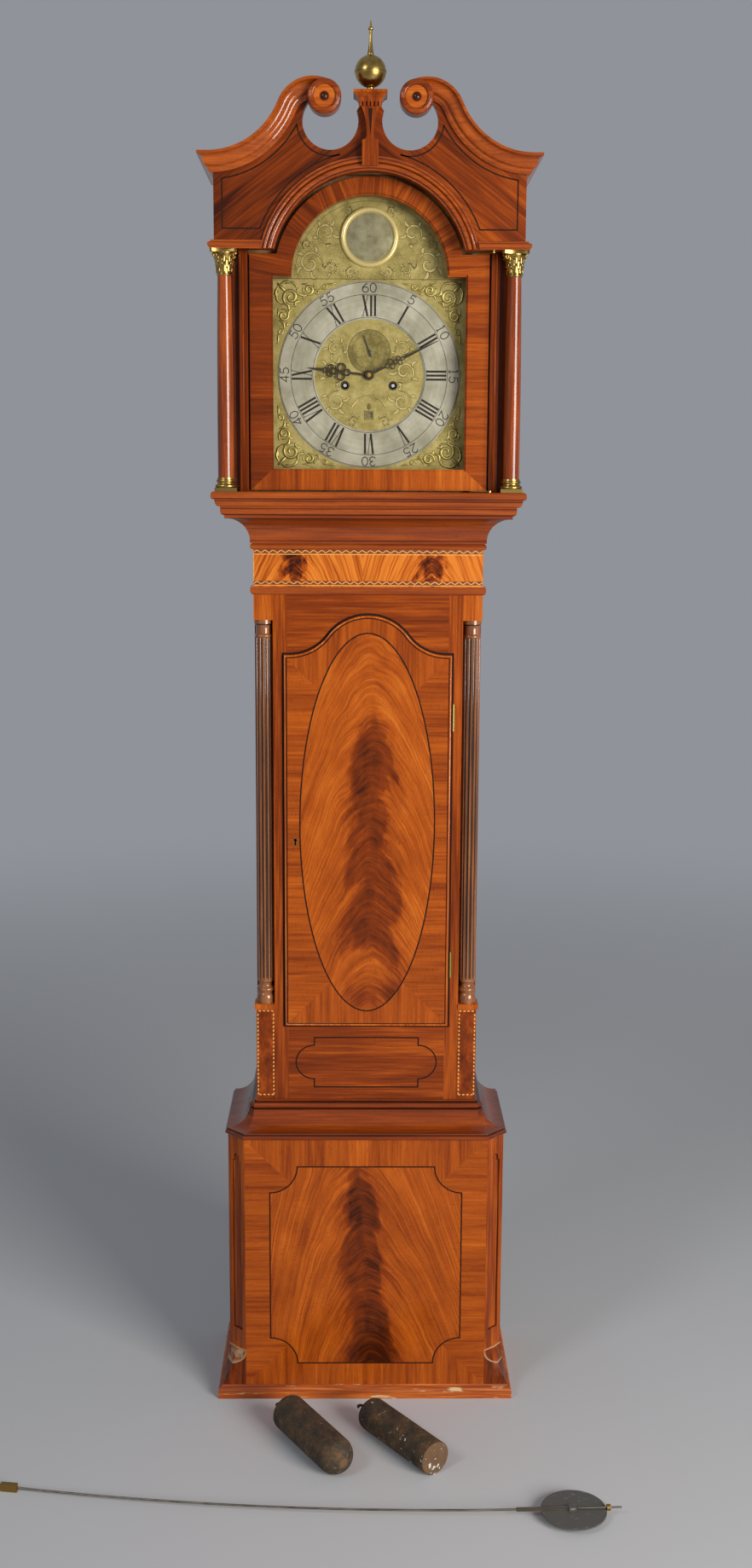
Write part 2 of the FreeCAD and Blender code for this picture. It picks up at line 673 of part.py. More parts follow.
def pediment_board():
    low, low_r, high, high_r, turn = swan_curve(CORNICE_DROP / 2)
    first = -90 + math.degrees(math.asin((-hood_half - low[0]) / low_r))
    neck = FINIAL_SEAT + cornice_top
    start = polar(low, low_r, first)
    last = polar(high, high_r, 60)
    steps = [(0, entablature), (-hood_half, entablature), start,
             (polar(low, low_r, (first + turn - 90) / 2), polar(low, low_r, turn - 90)),
             (polar(high, high_r, 90 + turn / 2), polar(high, high_r, 90)),
             (polar(high, high_r, 75), last), (-VOID_X + VOID_RADIUS * 0.92, cornice_top + VOID_RISE + 13),
             (-15, neck), (0, neck)]
    half = plate(steps, (hood_front, board_back))
    void = rod(VOID_RADIUS, (-VOID_X, hood_front - 1, cornice_top + VOID_RISE),
               (-VOID_X, board_back + 1, cornice_top + VOID_RISE))
    half = half.cut(void)
    board = fused(half, mirrored(half))
    arch = rod(ARCH_RADIUS, (0, hood_front - 1, arch_z), (0, board_back + 1, arch_z))
    hole = rod(HOOD_PIN + RUNNING_FIT, (pin_x, pin_y, entablature - 1), (pin_x, pin_y, entablature + 9))
    return board.cut([arch, hole]).Solids


def hood_arch_moulding():
    h = ENTABLATURE_BAND
    out = BAND_OUT
    z = entablature
    band = [(0, z), (out - 3, z), (out - 3, z + 2), ((out, z + 0.45 * h), (out - 3, z + 0.75 * h)),
            (out - 5, z + 0.8 * h), (out - 5, z + h), (0, z + h)]
    runs = hood_run(band)
    r = ARCH_RADIUS
    w = ARCH_BAND
    profile = [(r, 0), (r, out - 3), (r + 0.12 * w, out - 3), ((r + 0.3 * w, out), (r + 0.48 * w, out - 3)),
               (r + 0.54 * w, out - 5), ((r + 0.66 * w, out - 2.5), (r + 0.8 * w, out - 4.5)), (r + 0.82 * w, out - 6),
               (r + w, out - 6), (r + w, 0)]
    ring = bent_moulding(profile, (0, arch_z), 0, 180)
    keep = block((-r - w - 1, r + w + 1), (hood_front - out - 1, hood_front), (entablature, arch_z + r + w + 1))
    ring = ring.common(keep)
    hole = rod(r + w, (0, hood_front - out - 1, arch_z), (0, hood_front + 1, arch_z))
    solids = []
    for run in runs:
        solids.extend(run.cut(hole).Solids)
    return solids + ring.Solids


def cornice_profile():
    """Cornice section as (outwards, down from the top edge)."""
    out = CORNICE_OUT
    d = CORNICE_DROP
    return [(0, 0), (out, 0), (out, -0.14 * d), (out - 2, -0.17 * d),
            ((0.72 * out, -0.26 * d), (0.64 * out, -0.45 * d)), ((0.57 * out, -0.64 * d), (0.36 * out, -0.74 * d)),
            (0.33 * out, -0.8 * d), (0.33 * out, -0.88 * d), (0.2 * out, -d), (0, -d)]


def along(step, change):
    """Apply a change of coordinates to a point or to both points of an arc."""
    if isinstance(step[0], tuple):
        return (change(*step[0]), change(*step[1]))
    return change(*step)


def hood_cornice():
    section = cornice_profile()
    runs = hood_run([along(step, lambda out, up: (out, cornice_top + up)) for step in section])
    low, low_r, high, high_r, turn = swan_curve(0)
    first = bent_moulding([along(s, lambda out, up: (low_r - up, out)) for s in section], low, -90, turn - 90)
    second = bent_moulding([along(s, lambda out, up: (high_r + up, out)) for s in section], high, 70, 90 + turn)
    tip = low[0] - CORNICE_OUT - 20
    face = Part.Face(outline(lambda u, v: Vector(tip, hood_front - u, cornice_top + v), section))
    straight = face.extrude(Vector(low[0] - tip, 0, 0))
    swan = fused(straight, first, second)
    reach = CORNICE_OUT + 6
    mitre = slab([(-hood_half, hood_front), (-hood_half - reach, hood_front - reach), (0, hood_front - reach),
                  (0, hood_front)], (entablature, cornice_top + SWAN_RISE + 20))
    centre = (-ROUNDEL_X, cornice_top + ROUNDEL_RISE)
    seat = rod(ROUNDEL_RADIUS, (centre[0], hood_front - 60, centre[1]), (centre[0], hood_front + 1, centre[1]))
    swan = max(swan.common(mitre).cut(seat).Solids, key=lambda s: s.Volume)
    return both(swan) + [runs[0], runs[-1]]


def pediment_roundels():
    r = ROUNDEL_RADIUS
    h = ROUNDEL_OUT
    disc = turned([(0, 0), (r, 0), (r, 0.8 * h), ((r - 1, h - 1.2), (r - 4, h)), ((r - 8, h - 0.6), (r - 9, h - 3)),
                   (0.24 * r, h - 3), dome(0.24 * r, h - 3, h)])
    disc = laid_back(disc, 0, 0, 0)
    disc.rotate(Vector(0, 0, 0), Vector(0, 0, 1), 180)
    disc.translate(Vector(-ROUNDEL_X, hood_front, cornice_top + ROUNDEL_RISE))
    return both(disc)


def finial_pedestal():
    neck = cornice_top + FINIAL_SEAT
    key = cornice_top + 18.0
    low = cornice_top - 20.0
    left = [(-12.7, low), (-12.7, key), (-8, key + 2), (-6, key + 5), ((-7.5, key + 30), (-17, neck))]
    mirror = [(17, neck), ((7.5, key + 30), (6, key + 5)), (8, key + 2), (12.7, key), (12.7, low)]
    console = plate(left + mirror, (hood_front - 16, hood_front))
    ring = rod(ARCH_RADIUS + ARCH_BAND, (0, hood_front - BAND_OUT, arch_z), (0, hood_front, arch_z))
    console = console.cut(ring)
    half = FINIAL_CAP_WIDTH / 2
    y = (hood_front - 18, board_back)

    def level(z, spread):
        return Part.makePolygon([Vector(-18 - spread, y[0] - spread, z), Vector(18 + spread, y[0] - spread, z),
                                 Vector(18 + spread, y[1] + spread, z), Vector(-18 - spread, y[1] + spread, z),
                                 Vector(-18 - spread, y[0] - spread, z)])

    top = neck + FINIAL_CAP
    spread = half - 18
    cap = Part.makeLoft([level(neck, 0), level(neck + 5, 1.0), level(neck + 9, spread * 0.5),
                         level(top - 4, spread)], True, True)
    slab_top = block((-half, half), (y[0] - spread, y[1] + spread), (top - 4, top))
    pieces = [cap, slab_top]
    for i in range(6):
        x = -15.0 + 6 * i
        pieces.append(block((x - 1.8, x + 1.8), (hood_front - 18, hood_front - 16), (neck - 7, neck)))
    return [fused(console, *pieces)]


def finial():
    foot = cornice_top + FINIAL_SEAT + FINIAL_CAP
    r = FINIAL_BALL
    mid = r + 7.0
    top = mid + r + FINIAL_SPIKE
    seam = 0.9
    steps = [(0, 0), (9, 0), (9, 2), ((6, 4), (6.5, mid - math.sqrt(r * r - 42.25))),
             (polar((0, mid), r, -40), polar((0, mid), r, -3)), (r + seam, mid - 1), (r + seam, mid + 1),
             polar((0, mid), r, 3), (polar((0, mid), r, 40), (5, mid + math.sqrt(r * r - 25))),
             (5, mid + r + 2), ((3.4, mid + r + 12), (2.4, top - 16)), (2.4, top - 15),
             ((4, top - 12.5), (2, top - 10)), (0.8, top - 1), (0, top)]
    return [turned(steps, (0, (hood_front - 18 + board_back) / 2, foot))]


def hood_columns():
    r = HOOD_COLUMN_RADIUS
    low = hood_floor + BRASS_BASE_HEIGHT
    high = entablature - BRASS_CAPITAL_HEIGHT
    third = (high - low) / 3
    top = r - HOOD_COLUMN_TAPER
    shaft = turned([(0, low), (r, low), (r, low + third), ((r - HOOD_COLUMN_TAPER / 3, low + 2 * third), (top, high)),
                    (0, high)], (column_x, column_y, 0))
    return both(shaft)


def hood_column_brasses():
    half = BRASS_BASE_WIDTH / 2
    h = BRASS_BASE_HEIGHT
    r = HOOD_COLUMN_RADIUS
    plinth = block((column_x - half, column_x + half), (column_y - half, column_y + half),
                   (hood_floor, hood_floor + 6))
    rings = turned([(0, 5), (half - 1, 5), (half - 1, 6), ((half + 0.3, 8.5), (half - 1, 11)), (r + 2.4, 11.5),
                    ((r + 1.2, 13), (r + 1.6, 15)), ((r + 2.8, 17), (r + 1.4, 19)), (r + 1.0, h), (0, h)],
                   (column_x, column_y, hood_floor))
    low = entablature - BRASS_CAPITAL_HEIGHT
    k = BRASS_CAPITAL_HEIGHT
    wide = BRASS_CAPITAL_WIDTH / 2
    r = r - HOOD_COLUMN_TAPER
    bell = turned([(0, 0), (r + 0.2, 0), ((r + 1.4, 1.6), (r + 0.2, 3.2)), ((r + 1.2, 0.45 * k), (r + 6, k - 6)),
                   (r + 6, k - 5), (0, k - 5)], (column_x, column_y, low))
    bow = wide - 3.5
    steps = []
    for x, y in ((1, 1), (-1, 1), (-1, -1), (1, -1)):
        near = (x * wide, y * (wide - 4)) if x * y < 0 else (x * (wide - 4), y * wide)
        far = (x * (wide - 4), y * wide) if x * y < 0 else (x * wide, y * (wide - 4))
        middle = (0, y * bow) if x * y > 0 else (x * bow, 0)
        steps.append((far, near, middle))
    path = [steps[0][0], steps[0][1]]
    for i in range(4):
        nxt = steps[(i + 1) % 4]
        path.append((steps[i][2], nxt[0]))
        if i < 3:
            path.append(nxt[1])
    placed = [along(s, lambda u, v: (u + column_x, v + column_y)) for s in path]
    abacus = slab(placed, (entablature - 5, entablature))
    return both(fused(plinth, rings)) + both(fused(bell, abacus))


def hood_roof():
    x = hood_half - HOOD_BOARD
    return [block((-x, x), (board_back, BACK_Y), (roof_bottom, roof_bottom + ROOF_BOARD))]


def arch_outline(half, low, shoulder, radius):
    """Break-arch outline: a rectangle with a round arch on top."""
    rise = math.sqrt(max(radius * radius - (shoulder - arch_z) ** 2, 0))
    return [(-half, low), (half, low), (half, shoulder), (rise, shoulder),
            ((0, arch_z + radius), (-rise, shoulder)), (-half, shoulder)]


def dial_mask():
    grow = 1.0
    y = (hood_door_back + MASK_GAP, hood_door_back + MASK_GAP + MASK)
    board = block((-hood_inner, hood_inner), y, (hood_floor, roof_bottom))
    hole = plate(arch_outline(GLAZED_WIDTH / 2 + grow, glazed_bottom - grow, arch_z, GLAZED_ARCH + grow),
                 (y[0] - 1, y[1] + 1))
    return [board.cut(hole)]


def hood_door_frame():
    y = (hood_door_front, hood_door_back)
    gap = HOOD_DOOR_GAP
    frame = plate(arch_outline(hood_door_half, hood_floor + gap, entablature - gap, ARCH_RADIUS - gap), y)

    def glazed(grow, depth):
        outline = arch_outline(GLAZED_WIDTH / 2 + grow, glazed_bottom - grow, arch_z + grow, GLAZED_ARCH + grow)
        return plate(outline, depth)

    frame = frame.cut(glazed(0, (y[0] - 1, y[1] + 1)))
    frame = frame.cut(glazed(2.5, (y[0] - 1, y[0] + 3)))
    return [frame.cut(glazed(GLASS_REBATE, (y[1] - GLASS - 1, y[1] + 1)))]


def hood_door_glass():
    grow = GLASS_REBATE - 0.5
    y = hood_door_back - GLASS - 1
    return [plate(arch_outline(GLAZED_WIDTH / 2 + grow, glazed_bottom - grow, arch_z + grow, GLAZED_ARCH + grow),
                  (y, y + GLASS))]


def hood_door_hinges():
    gap = HOOD_DOOR_GAP
    start = hood_door_half - STRAP_LENGTH
    eye = STRAP_EYE
    plan = [(start, hood_door_back - 3), (start, hood_door_front + 3), (pin_x - eye, pin_y),
            ((pin_x, pin_y - eye), (pin_x + eye, pin_y)), (hood_door_half, hood_door_front),
            (hood_door_half, hood_door_back - 3)]
    low = slab(plan, (hood_floor + gap - STRAP, hood_floor + gap))
    low_pin = rod(HOOD_PIN, (pin_x, pin_y, hood_floor - 8), (pin_x, pin_y, hood_floor + gap - 1))
    high = slab(plan, (entablature - gap, entablature - gap + STRAP))
    high_pin = rod(HOOD_PIN, (pin_x, pin_y, entablature - gap + 1), (pin_x, pin_y, entablature + 8))
    return [fused(low, low_pin), fused(high, high_pin)]


def dial_plate():
    y = (dial_front, dial_back)
    face = plate(arch_outline(GLAZED_WIDTH / 2 + DIAL_LAP, glazed_bottom - DIAL_LAP, arch_z + DIAL_LAP,
                              GLAZED_ARCH + DIAL_LAP), y)
    holes = [rod(HOUR_PIPE + 1, (0, y[0] - 1, dial_z), (0, y[1] + 1, dial_z))]
    for x in (-WIND_X, WIND_X):
        holes.append(rod(5.5, (x, y[0] - 1, dial_z - WIND_DROP), (x, y[1] + 1, dial_z - WIND_DROP)))
    holes.append(rod(1.6, (0, y[0] - 1, dial_z + ESCAPE_RISE), (0, y[1] + 1, dial_z + ESCAPE_RISE)))
    holes.append(block((-6, 6), (y[0] - 1, y[1] + 1), (dial_z - DATE_DROP - 5, dial_z - DATE_DROP + 5)))
    face = face.cut(holes)
    feet = []
    for x in (-62, 62):
        for z in (-72, 72):
            feet.append(rod(3.5, (x, y[1] - 0.5, dial_z + z), (x, front_plate, dial_z + z)))
    return [fused(face, *feet)]


def chapter_ring():
    start = (0, dial_front - RING_PLATE, dial_z)
    return [rod(ring_outer, start, (0, dial_front, dial_z)).cut(rod(ring_inner, start, (0, dial_front, dial_z)))]


def dial_spandrels():
    half = GLAZED_WIDTH / 2 - 3
    inner = ring_outer + 3
    y = (dial_front - SPANDREL_PLATE, dial_front)
    pieces = []
    for top in (1, -1):
        edge = arch_z - dial_z - 4 if top > 0 else dial_z - glazed_bottom - 4
        reach_x = math.sqrt(inner * inner - edge * edge) if inner > edge else 8.0
        reach_z = math.sqrt(inner * inner - half * half) if inner > half else 8.0
        turn = (math.atan2(edge, reach_x) + math.atan2(reach_z, half)) / 2
        middle = (inner * math.cos(turn), dial_z + top * inner * math.sin(turn))
        corner = [(half, dial_z + top * edge), (max(reach_x, 30.0) + 6, dial_z + top * edge)]
        low = (half, dial_z + top * (max(reach_z, 30.0) + 6))
        pieces += both(plate([corner[0], corner[1], (middle, low)], y))
    return pieces


def arch_boss():
    z = boss_z
    disc = turned([(0, 0), (BOSS_RADIUS, 0), (BOSS_RADIUS, 1.2), dome(BOSS_RADIUS, 1.2, 4)])
    bezel = turned([(BOSS_RADIUS, 0), (BEZEL_RADIUS, 0), (BEZEL_RADIUS, 2),
                    ((BOSS_RADIUS + 4.2, 5.5), (BOSS_RADIUS, 2.6))])
    pieces = []
    for piece in (disc, bezel):
        piece = laid_back(piece, 0, 0, 0)
        piece.rotate(Vector(0, 0, 0), Vector(0, 0, 1), 180)
        piece.translate(Vector(0, dial_front, z))
        pieces.append(piece)
    return pieces


def date_ring():
    y = (dial_back + 0.5, dial_back + 2.0)
    start, end = (0, y[0], dial_z), (0, y[1], dial_z)
    return [rod(DATE_OUTER, start, end).cut(rod(DATE_INNER, start, end))]


def toothed(teeth, module, shares, turn, thick, y):
    """Toothed disc lying across Y; shares are (addendum, dedendum, root, pitch, tip)."""
    tall, deep, root, pitch, tip = shares
    r = module * teeth / 2
    step = 360.0 / teeth
    points = []
    for i in range(teeth):
        for radius, share in ((r - deep * module, -root), (r, -pitch), (r + tall * module, -tip),
                              (r + tall * module, tip), (r, pitch), (r - deep * module, root)):
            x, z = polar((0, 0), radius, turn + (i + share) * step)
            points.append(Vector(x, y, z))
    points.append(points[0])
    return Part.Face(Part.makePolygon(points)).extrude(Vector(0, thick, 0))


WHEEL_TEETH = (0.8, 1.15, 0.23, 0.19, 0.09)
PINION_LEAVES = (0.45, 1.35, 0.13, 0.13, 0.08)


def wheel(teeth, module, turn, y, hub):
    """Wheel with four crossings; y is its front face."""
    disc = toothed(teeth, module, WHEEL_TEETH, turn, WHEEL, y)
    rim = module * teeth / 2 - module * 1.15 - 2.2
    ring = rod(rim, (0, y - 1, 0), (0, y + WHEEL + 1, 0)).cut(rod(hub, (0, y - 1, 0), (0, y + WHEEL + 1, 0)))
    arm = 1.5 if rim < 20 else 2.2
    bars = [block((-rim - 1, rim + 1), (y - 2, y + WHEEL + 2), (-arm, arm)),
            block((-arm, arm), (y - 2, y + WHEEL + 2), (-rim - 1, rim + 1))]
    return disc.cut(ring.cut(bars))


def arbor(y, radius, pivots):
    """Shaft between the plates with a pivot at each end."""
    body = rod(radius, (0, y[0], 0), (0, y[1], 0))
    return fused(body, rod(PIVOT_RADIUS, (0, pivots[0], 0), (0, pivots[1], 0)))


def bearing(start, end):
    """Direction in degrees from one arbor to another."""
    return math.degrees(math.atan2(end[1] - start[1], end[0] - start[0]))


def placed(shape, spot):
    """Move an arbor from the dial centre line to its place."""
    shape.translate(Vector(spot[0], 0, dial_z + spot[1]))
    return shape


def reach(start, distance, degrees):
    """Arbor place at a distance and direction from another."""
    return polar(start, distance, degrees)


# Tooth counts and modules of the two trains and of the motion work
CENTRE_MODULE = 0.75
THIRD_MODULE = 0.7
STRIKE_MODULE = 0.8
PIN_MODULE = 0.6
GATHER_MODULE = 0.55
WARN_MODULE = 0.5
MOTION_MODULE = 0.8
GREAT_TEETH = 96
CENTRE_TEETH = 60
THIRD_TEETH = 56
ESCAPE_TEETH = 30
STRIKE_TEETH = 84
PIN_TEETH = 64
WARN_TEETH = 48
LEAVES_8 = 8
LEAVES_7 = 7
CANNON_TEETH = 40
HOUR_TEETH = 72
LEAVES_6 = 6
HOUR_PIPE = 4.6
CANNON_PIPE = 3.2

# Arbor places, as (X, height) from the dial centre
CENTRE = (0.0, 0.0)
GOING = (WIND_X, -WIND_DROP)
STRIKE = (-WIND_X, -WIND_DROP)
great_module = 2 * math.hypot(*GOING) / (GREAT_TEETH + LEAVES_8)
ESCAPE = (0.0, ESCAPE_RISE)
centre_third = CENTRE_MODULE * (CENTRE_TEETH + LEAVES_8) / 2
third_escape = THIRD_MODULE * (THIRD_TEETH + LEAVES_7) / 2
third_up = (centre_third ** 2 - third_escape ** 2 + ESCAPE_RISE ** 2) / (2 * ESCAPE_RISE)
THIRD = (math.sqrt(centre_third ** 2 - third_up ** 2), third_up)
ANCHOR = (0.0, ESCAPE_RISE + ANCHOR_RISE)
PIN = reach(STRIKE, STRIKE_MODULE * (STRIKE_TEETH + LEAVES_8) / 2, 80)
GATHER = reach(PIN, PIN_MODULE * (PIN_TEETH + LEAVES_8) / 2, 70)
WARN = reach(GATHER, GATHER_MODULE * (THIRD_TEETH + LEAVES_7) / 2, 115)
FLY = reach(WARN, WARN_MODULE * (WARN_TEETH + LEAVES_7) / 2, 60)
minute_drop = MOTION_MODULE * CANNON_TEETH
MINUTE = (0.0, -minute_drop)
hour_module = 2 * minute_drop / (HOUR_TEETH + LEAVES_6)
HAMMER = (-58.0, 40.0)
ARBORS = (CENTRE, GOING, STRIKE, THIRD, ESCAPE, ANCHOR, PIN, GATHER, WARN, FLY, HAMMER)


def movement_frame():
    x = (-PLATE_WIDTH / 2, PLATE_WIDTH / 2)
    z = (dial_z - PLATE_DROP, dial_z + PLATE_RISE)
    front = block(x, (front_plate, plate_in), z)
    back = block(x, (back_plate, plate_out), z)
    holes = []
    for spot in ARBORS:
        big = {CENTRE: ARBOR_RADIUS, GOING: 4.3, STRIKE: 4.3}.get(spot, PIVOT_RADIUS) + RUNNING_FIT
        holes.append(rod(big, (spot[0], front_plate - 1, dial_z + spot[1]),
                         (spot[0], plate_in + 1, dial_z + spot[1])))
    front = front.cut(holes)
    holes = []
    for spot in ARBORS:
        size = ARBOR_RADIUS + 3 if spot == ANCHOR else PIVOT_RADIUS + RUNNING_FIT
        holes.append(rod(size, (spot[0], back_plate - 1, dial_z + spot[1]),
                         (spot[0], plate_out + 1, dial_z + spot[1])))
    back = back.cut(holes)
    pillars = []
    for sx in (-PILLAR_X, PILLAR_X):
        for sz in (-PILLAR_DROP, PILLAR_RISE):
            half = PLATE_GAP / 2
            pillar = turned([(0, 0), (PILLAR_RADIUS, 0), (PILLAR_RADIUS, 6), ((4, 14), (5, half)),
                             ((4, PLATE_GAP - 14), (PILLAR_RADIUS, PLATE_GAP - 6)), (PILLAR_RADIUS, PLATE_GAP),
                             (0, PLATE_GAP)])
            pillars.append(laid_back(pillar, sx, plate_in, dial_z + sz))
    stud_z = dial_z + MINUTE[1]
    stud = rod(1.5, (0, front_plate - 14, stud_z), (0, front_plate, stud_z))
    cock = block((-24, 24), (plate_out + 18, plate_out + 22), (dial_z + ANCHOR[1] - 12, dial_z + ANCHOR[1] + 14))
    cock = cock.cut(rod(PIVOT_RADIUS + RUNNING_FIT, (0, plate_out, dial_z + ANCHOR[1]),
                        (0, plate_out + 30, dial_z + ANCHOR[1])))
    feet = block((16, 24), (plate_out, plate_out + 18), (dial_z + ANCHOR[1] - 12, dial_z + ANCHOR[1] + 14))
    cock = fused(cock, feet, mirrored(feet))
    return [fused(front, stud), back, cock] + pillars


def seatboard():
    return [block((-trunk_half, trunk_half), (front_plate - 6, front_plate - 6 + SEATBOARD_DEPTH),
                  (seat_top - SEATBOARD, seat_top))]


def winding_arbor(spot, teeth, module, turn, wheel_y):
    """Barrel with its great wheel and winding square."""
    pivots = (dial_front - 2, plate_out)
    drum_front = plate_in + 9.0
    shaft = rod(3.0, (0, plate_in + 0.3, 0), (0, back_plate - 0.3, 0))
    front = rod(4.3, (0, dial_back - 1, 0), (0, plate_in + 0.3, 0))
    square = block((-2.7, 2.7), (pivots[0], dial_back), (-2.7, 2.7))
    rear = rod(PIVOT_RADIUS, (0, back_plate - 1, 0), (0, pivots[1], 0))
    drum = rod(BARREL_RADIUS, (0, drum_front, 0), (0, wheel_y, 0))
    grooves = []
    turns = 12
    pitch = (wheel_y - drum_front - 4) / turns
    for i in range(turns):
        y = drum_front + 2 + (i + 0.5) * pitch
        grooves.append(laid_back(Part.makeTorus(BARREL_RADIUS + 0.4, 1.0), 0, y, 0))
    drum = drum.cut(grooves)
    great = wheel(teeth, module, turn, wheel_y, 12.0)
    return [placed(fused(shaft, front, square, rear, drum, great), spot)]


def going_barrel():
    return winding_arbor(GOING, GREAT_TEETH, great_module, bearing(GOING, CENTRE), plate_in + 51.0)


def strike_barrel():
    return winding_arbor(STRIKE, STRIKE_TEETH, STRIKE_MODULE, bearing(STRIKE, PIN), plate_in + 45.0)


def train_arbor(spot, driver, leaves, leaf_module, leaf_y, wheel_solid, pivots=None):
    """Arbor with a pinion facing its driver, and its wheel."""
    ends = pivots or (front_plate, plate_out)
    turn = bearing(spot, driver) + 180.0 / leaves
    pinion = toothed(leaves, leaf_module, PINION_LEAVES, turn, leaf_y[1] - leaf_y[0], leaf_y[0])
    core = min(ARBOR_RADIUS, leaf_module * (leaves / 2 - 1.35))
    shaft = arbor((plate_in + 0.3, back_plate - 0.3), core, ends)
    pieces = [pinion] if wheel_solid is None else [pinion, wheel_solid]
    return placed(fused(shaft, *pieces), spot)


def centre_wheel():
    solid = wheel(CENTRE_TEETH, CENTRE_MODULE, bearing(CENTRE, THIRD), plate_in + 3.0, 6.0)
    piece = train_arbor(CENTRE, GOING, LEAVES_8, great_module, (plate_in + 48.0, plate_in + 56.0), solid)
    tail = rod(ARBOR_RADIUS, (0, dial_front - 11, dial_z), (0, plate_in + 4.0, dial_z))
    return [fused(piece, tail)]


def third_wheel():
    solid = wheel(THIRD_TEETH, THIRD_MODULE, bearing(THIRD, ESCAPE), plate_in + 37.0, 5.0)
    return [train_arbor(THIRD, CENTRE, LEAVES_8, CENTRE_MODULE, (plate_in + 1.0, plate_in + 8.0), solid)]


def escape_wheel():
    y = plate_in + 47.0
    r = ESCAPE_RADIUS
    step = 360.0 / ESCAPE_TEETH
    points = []
    for i in range(ESCAPE_TEETH):
        for radius, share in ((r, 0.0), (r, 0.06), (r - 3.4, 0.34), (r - 3.4, 0.92)):
            x, z = polar((0, 0), radius, (i + share) * step)
            points.append(Vector(x, y, z))
    points.append(points[0])
    disc = Part.Face(Part.makePolygon(points)).extrude(Vector(0, WHEEL, 0))
    ring = rod(r - 6, (0, y - 1, 0), (0, y + WHEEL + 1, 0)).cut(rod(4.0, (0, y - 1, 0), (0, y + WHEEL + 1, 0)))
    bars = [block((-r, r), (y - 2, y + WHEEL + 2), (-1.2, 1.2)), block((-1.2, 1.2), (y - 2, y + WHEEL + 2), (-r, r))]
    disc = disc.cut(ring.cut(bars))
    piece = train_arbor(ESCAPE, THIRD, LEAVES_7, THIRD_MODULE, (plate_in + 34.0, plate_in + 42.0), disc,
                        (front_plate, plate_out))
    z = dial_z + ESCAPE_RISE
    tail = rod(1.0, (0, dial_front - 2.6, z), (0, front_plate + 1, z))
    hand = plate([(-1.6, -9), (1.6, -9), (0.9, 0), (0.5, SECONDS_HAND), (-0.5, SECONDS_HAND), (-0.9, 0)],
                 (dial_front - 2.4, dial_front - 1.6))
    hand = fused(hand, rod(2.6, (0, dial_front - 2.4, 0), (0, dial_front - 1.6, 0)))
    hand.rotate(Vector(0, 0, 0), Vector(0, 1, 0), SECONDS_ANGLE)
    hand.translate(Vector(0, 0, z))
    return [fused(piece, tail, hand)]


def pallet_anchor():
    y = (plate_in + 47.0, plate_in + 49.0)
    clear = ESCAPE_RADIUS + 1.6
    drop = ANCHOR_RISE - clear * math.cos(math.radians(48))
    reach_x = clear * math.sin(math.radians(48))
    right = [(0, 4.5), ((8, 2.0), (reach_x + 1.5, -drop + 3)), (reach_x + 1.2, -drop - 1.5), (reach_x - 0.4, -drop - 0.6),
             ((6.5, -3.5), (0, -4.0))]
    left = [((-6.5, -3.5), (-reach_x + 0.4, -drop - 0.6)), (-reach_x - 1.2, -drop - 1.5),
            (-reach_x - 1.5, -drop + 3), ((-8, 2.0), (0, 4.5))]
    body = plate(right + left, y)
    shaft = arbor((plate_in + 0.3, plate_out + 17.5), ARBOR_RADIUS, (front_plate, plate_out + 22))
    crutch_y = plate_out + 9.0
    stem = rod(1.5, (0, crutch_y, 0), (0, crutch_y, -CRUTCH))
    boss = rod(5.0, (0, crutch_y - 2, 0), (0, crutch_y + 2, 0))
    fork = block((-6, 6), (crutch_y - 1.5, crutch_y + 12), (-CRUTCH - 2, -CRUTCH + 1))
    fork = fork.cut(block((-3.6, 3.6), (crutch_y + 3, crutch_y + 13), (-CRUTCH - 3, -CRUTCH + 2)))
    return [placed(fused(body, shaft, stem, boss, fork), ANCHOR)]


def strike_pin_wheel():
    y = plate_in + 53.0
    solid = wheel(PIN_TEETH, PIN_MODULE, bearing(PIN, GATHER), y, 5.0)
    pins = []
    for i in range(8):
        x, z = polar((0, 0), PIN_MODULE * PIN_TEETH / 2 - 1.9, 45 * i + 20)
        pins.append(rod(0.7, (x, y + WHEEL - 0.5, z), (x, y + WHEEL + 3.0, z)))
    solid = fused(solid, *pins)
    return [train_arbor(PIN, STRIKE, LEAVES_8, STRIKE_MODULE, (plate_in + 43.5, plate_in + 49.0), solid)]


def strike_gathering_wheel():
    solid = wheel(THIRD_TEETH, GATHER_MODULE, bearing(GATHER, WARN), plate_in + 40.0, 4.0)
    return [train_arbor(GATHER, PIN, LEAVES_8, PIN_MODULE, (plate_in + 51.5, plate_in + 57.0), solid)]


def strike_warning_wheel():
    solid = wheel(WARN_TEETH, WARN_MODULE, bearing(WARN, FLY), plate_in + 27.0, 3.5)
    return [train_arbor(WARN, GATHER, LEAVES_7, GATHER_MODULE, (plate_in + 38.0, plate_in + 44.0), solid)]


def strike_fly():
    vane = block((-10.0, 10.0), (plate_in + 6.0, plate_in + 20.0), (-0.6, 0.6))
    return [train_arbor(FLY, WARN, LEAVES_7, WARN_MODULE, (plate_in + 25.0, plate_in + 31.0), vane)]


def bell():
    centre = (-6.0, plate_in + 30.0)
    low = dial_z + PLATE_RISE + 12.0
    r = BELL_RADIUS
    h = BELL_HEIGHT
    cup = turned([(r - 4, 0), (r, 0), (r, 2), ((r * 0.78, h * 0.74), (7, h)), (0, h), (0, h - 3),
                  (6, h - 3), ((r * 0.72, h * 0.66), (r - 4, 2))], (centre[0], centre[1], low))
    y = plate_out
    top = low + h
    post = block((centre[0] - 6, centre[0] + 6), (y, y + 3), (dial_z + PLATE_RISE - 4, top + 4))
    arm = block((centre[0] - 6, centre[0] + 6), (centre[1] - 6, y + 3), (top, top + 4))
    nut = rod(5.0, (centre[0], centre[1], top + 3), (centre[0], centre[1], top + 9))
    return [cup, fused(post, arm, nut)]


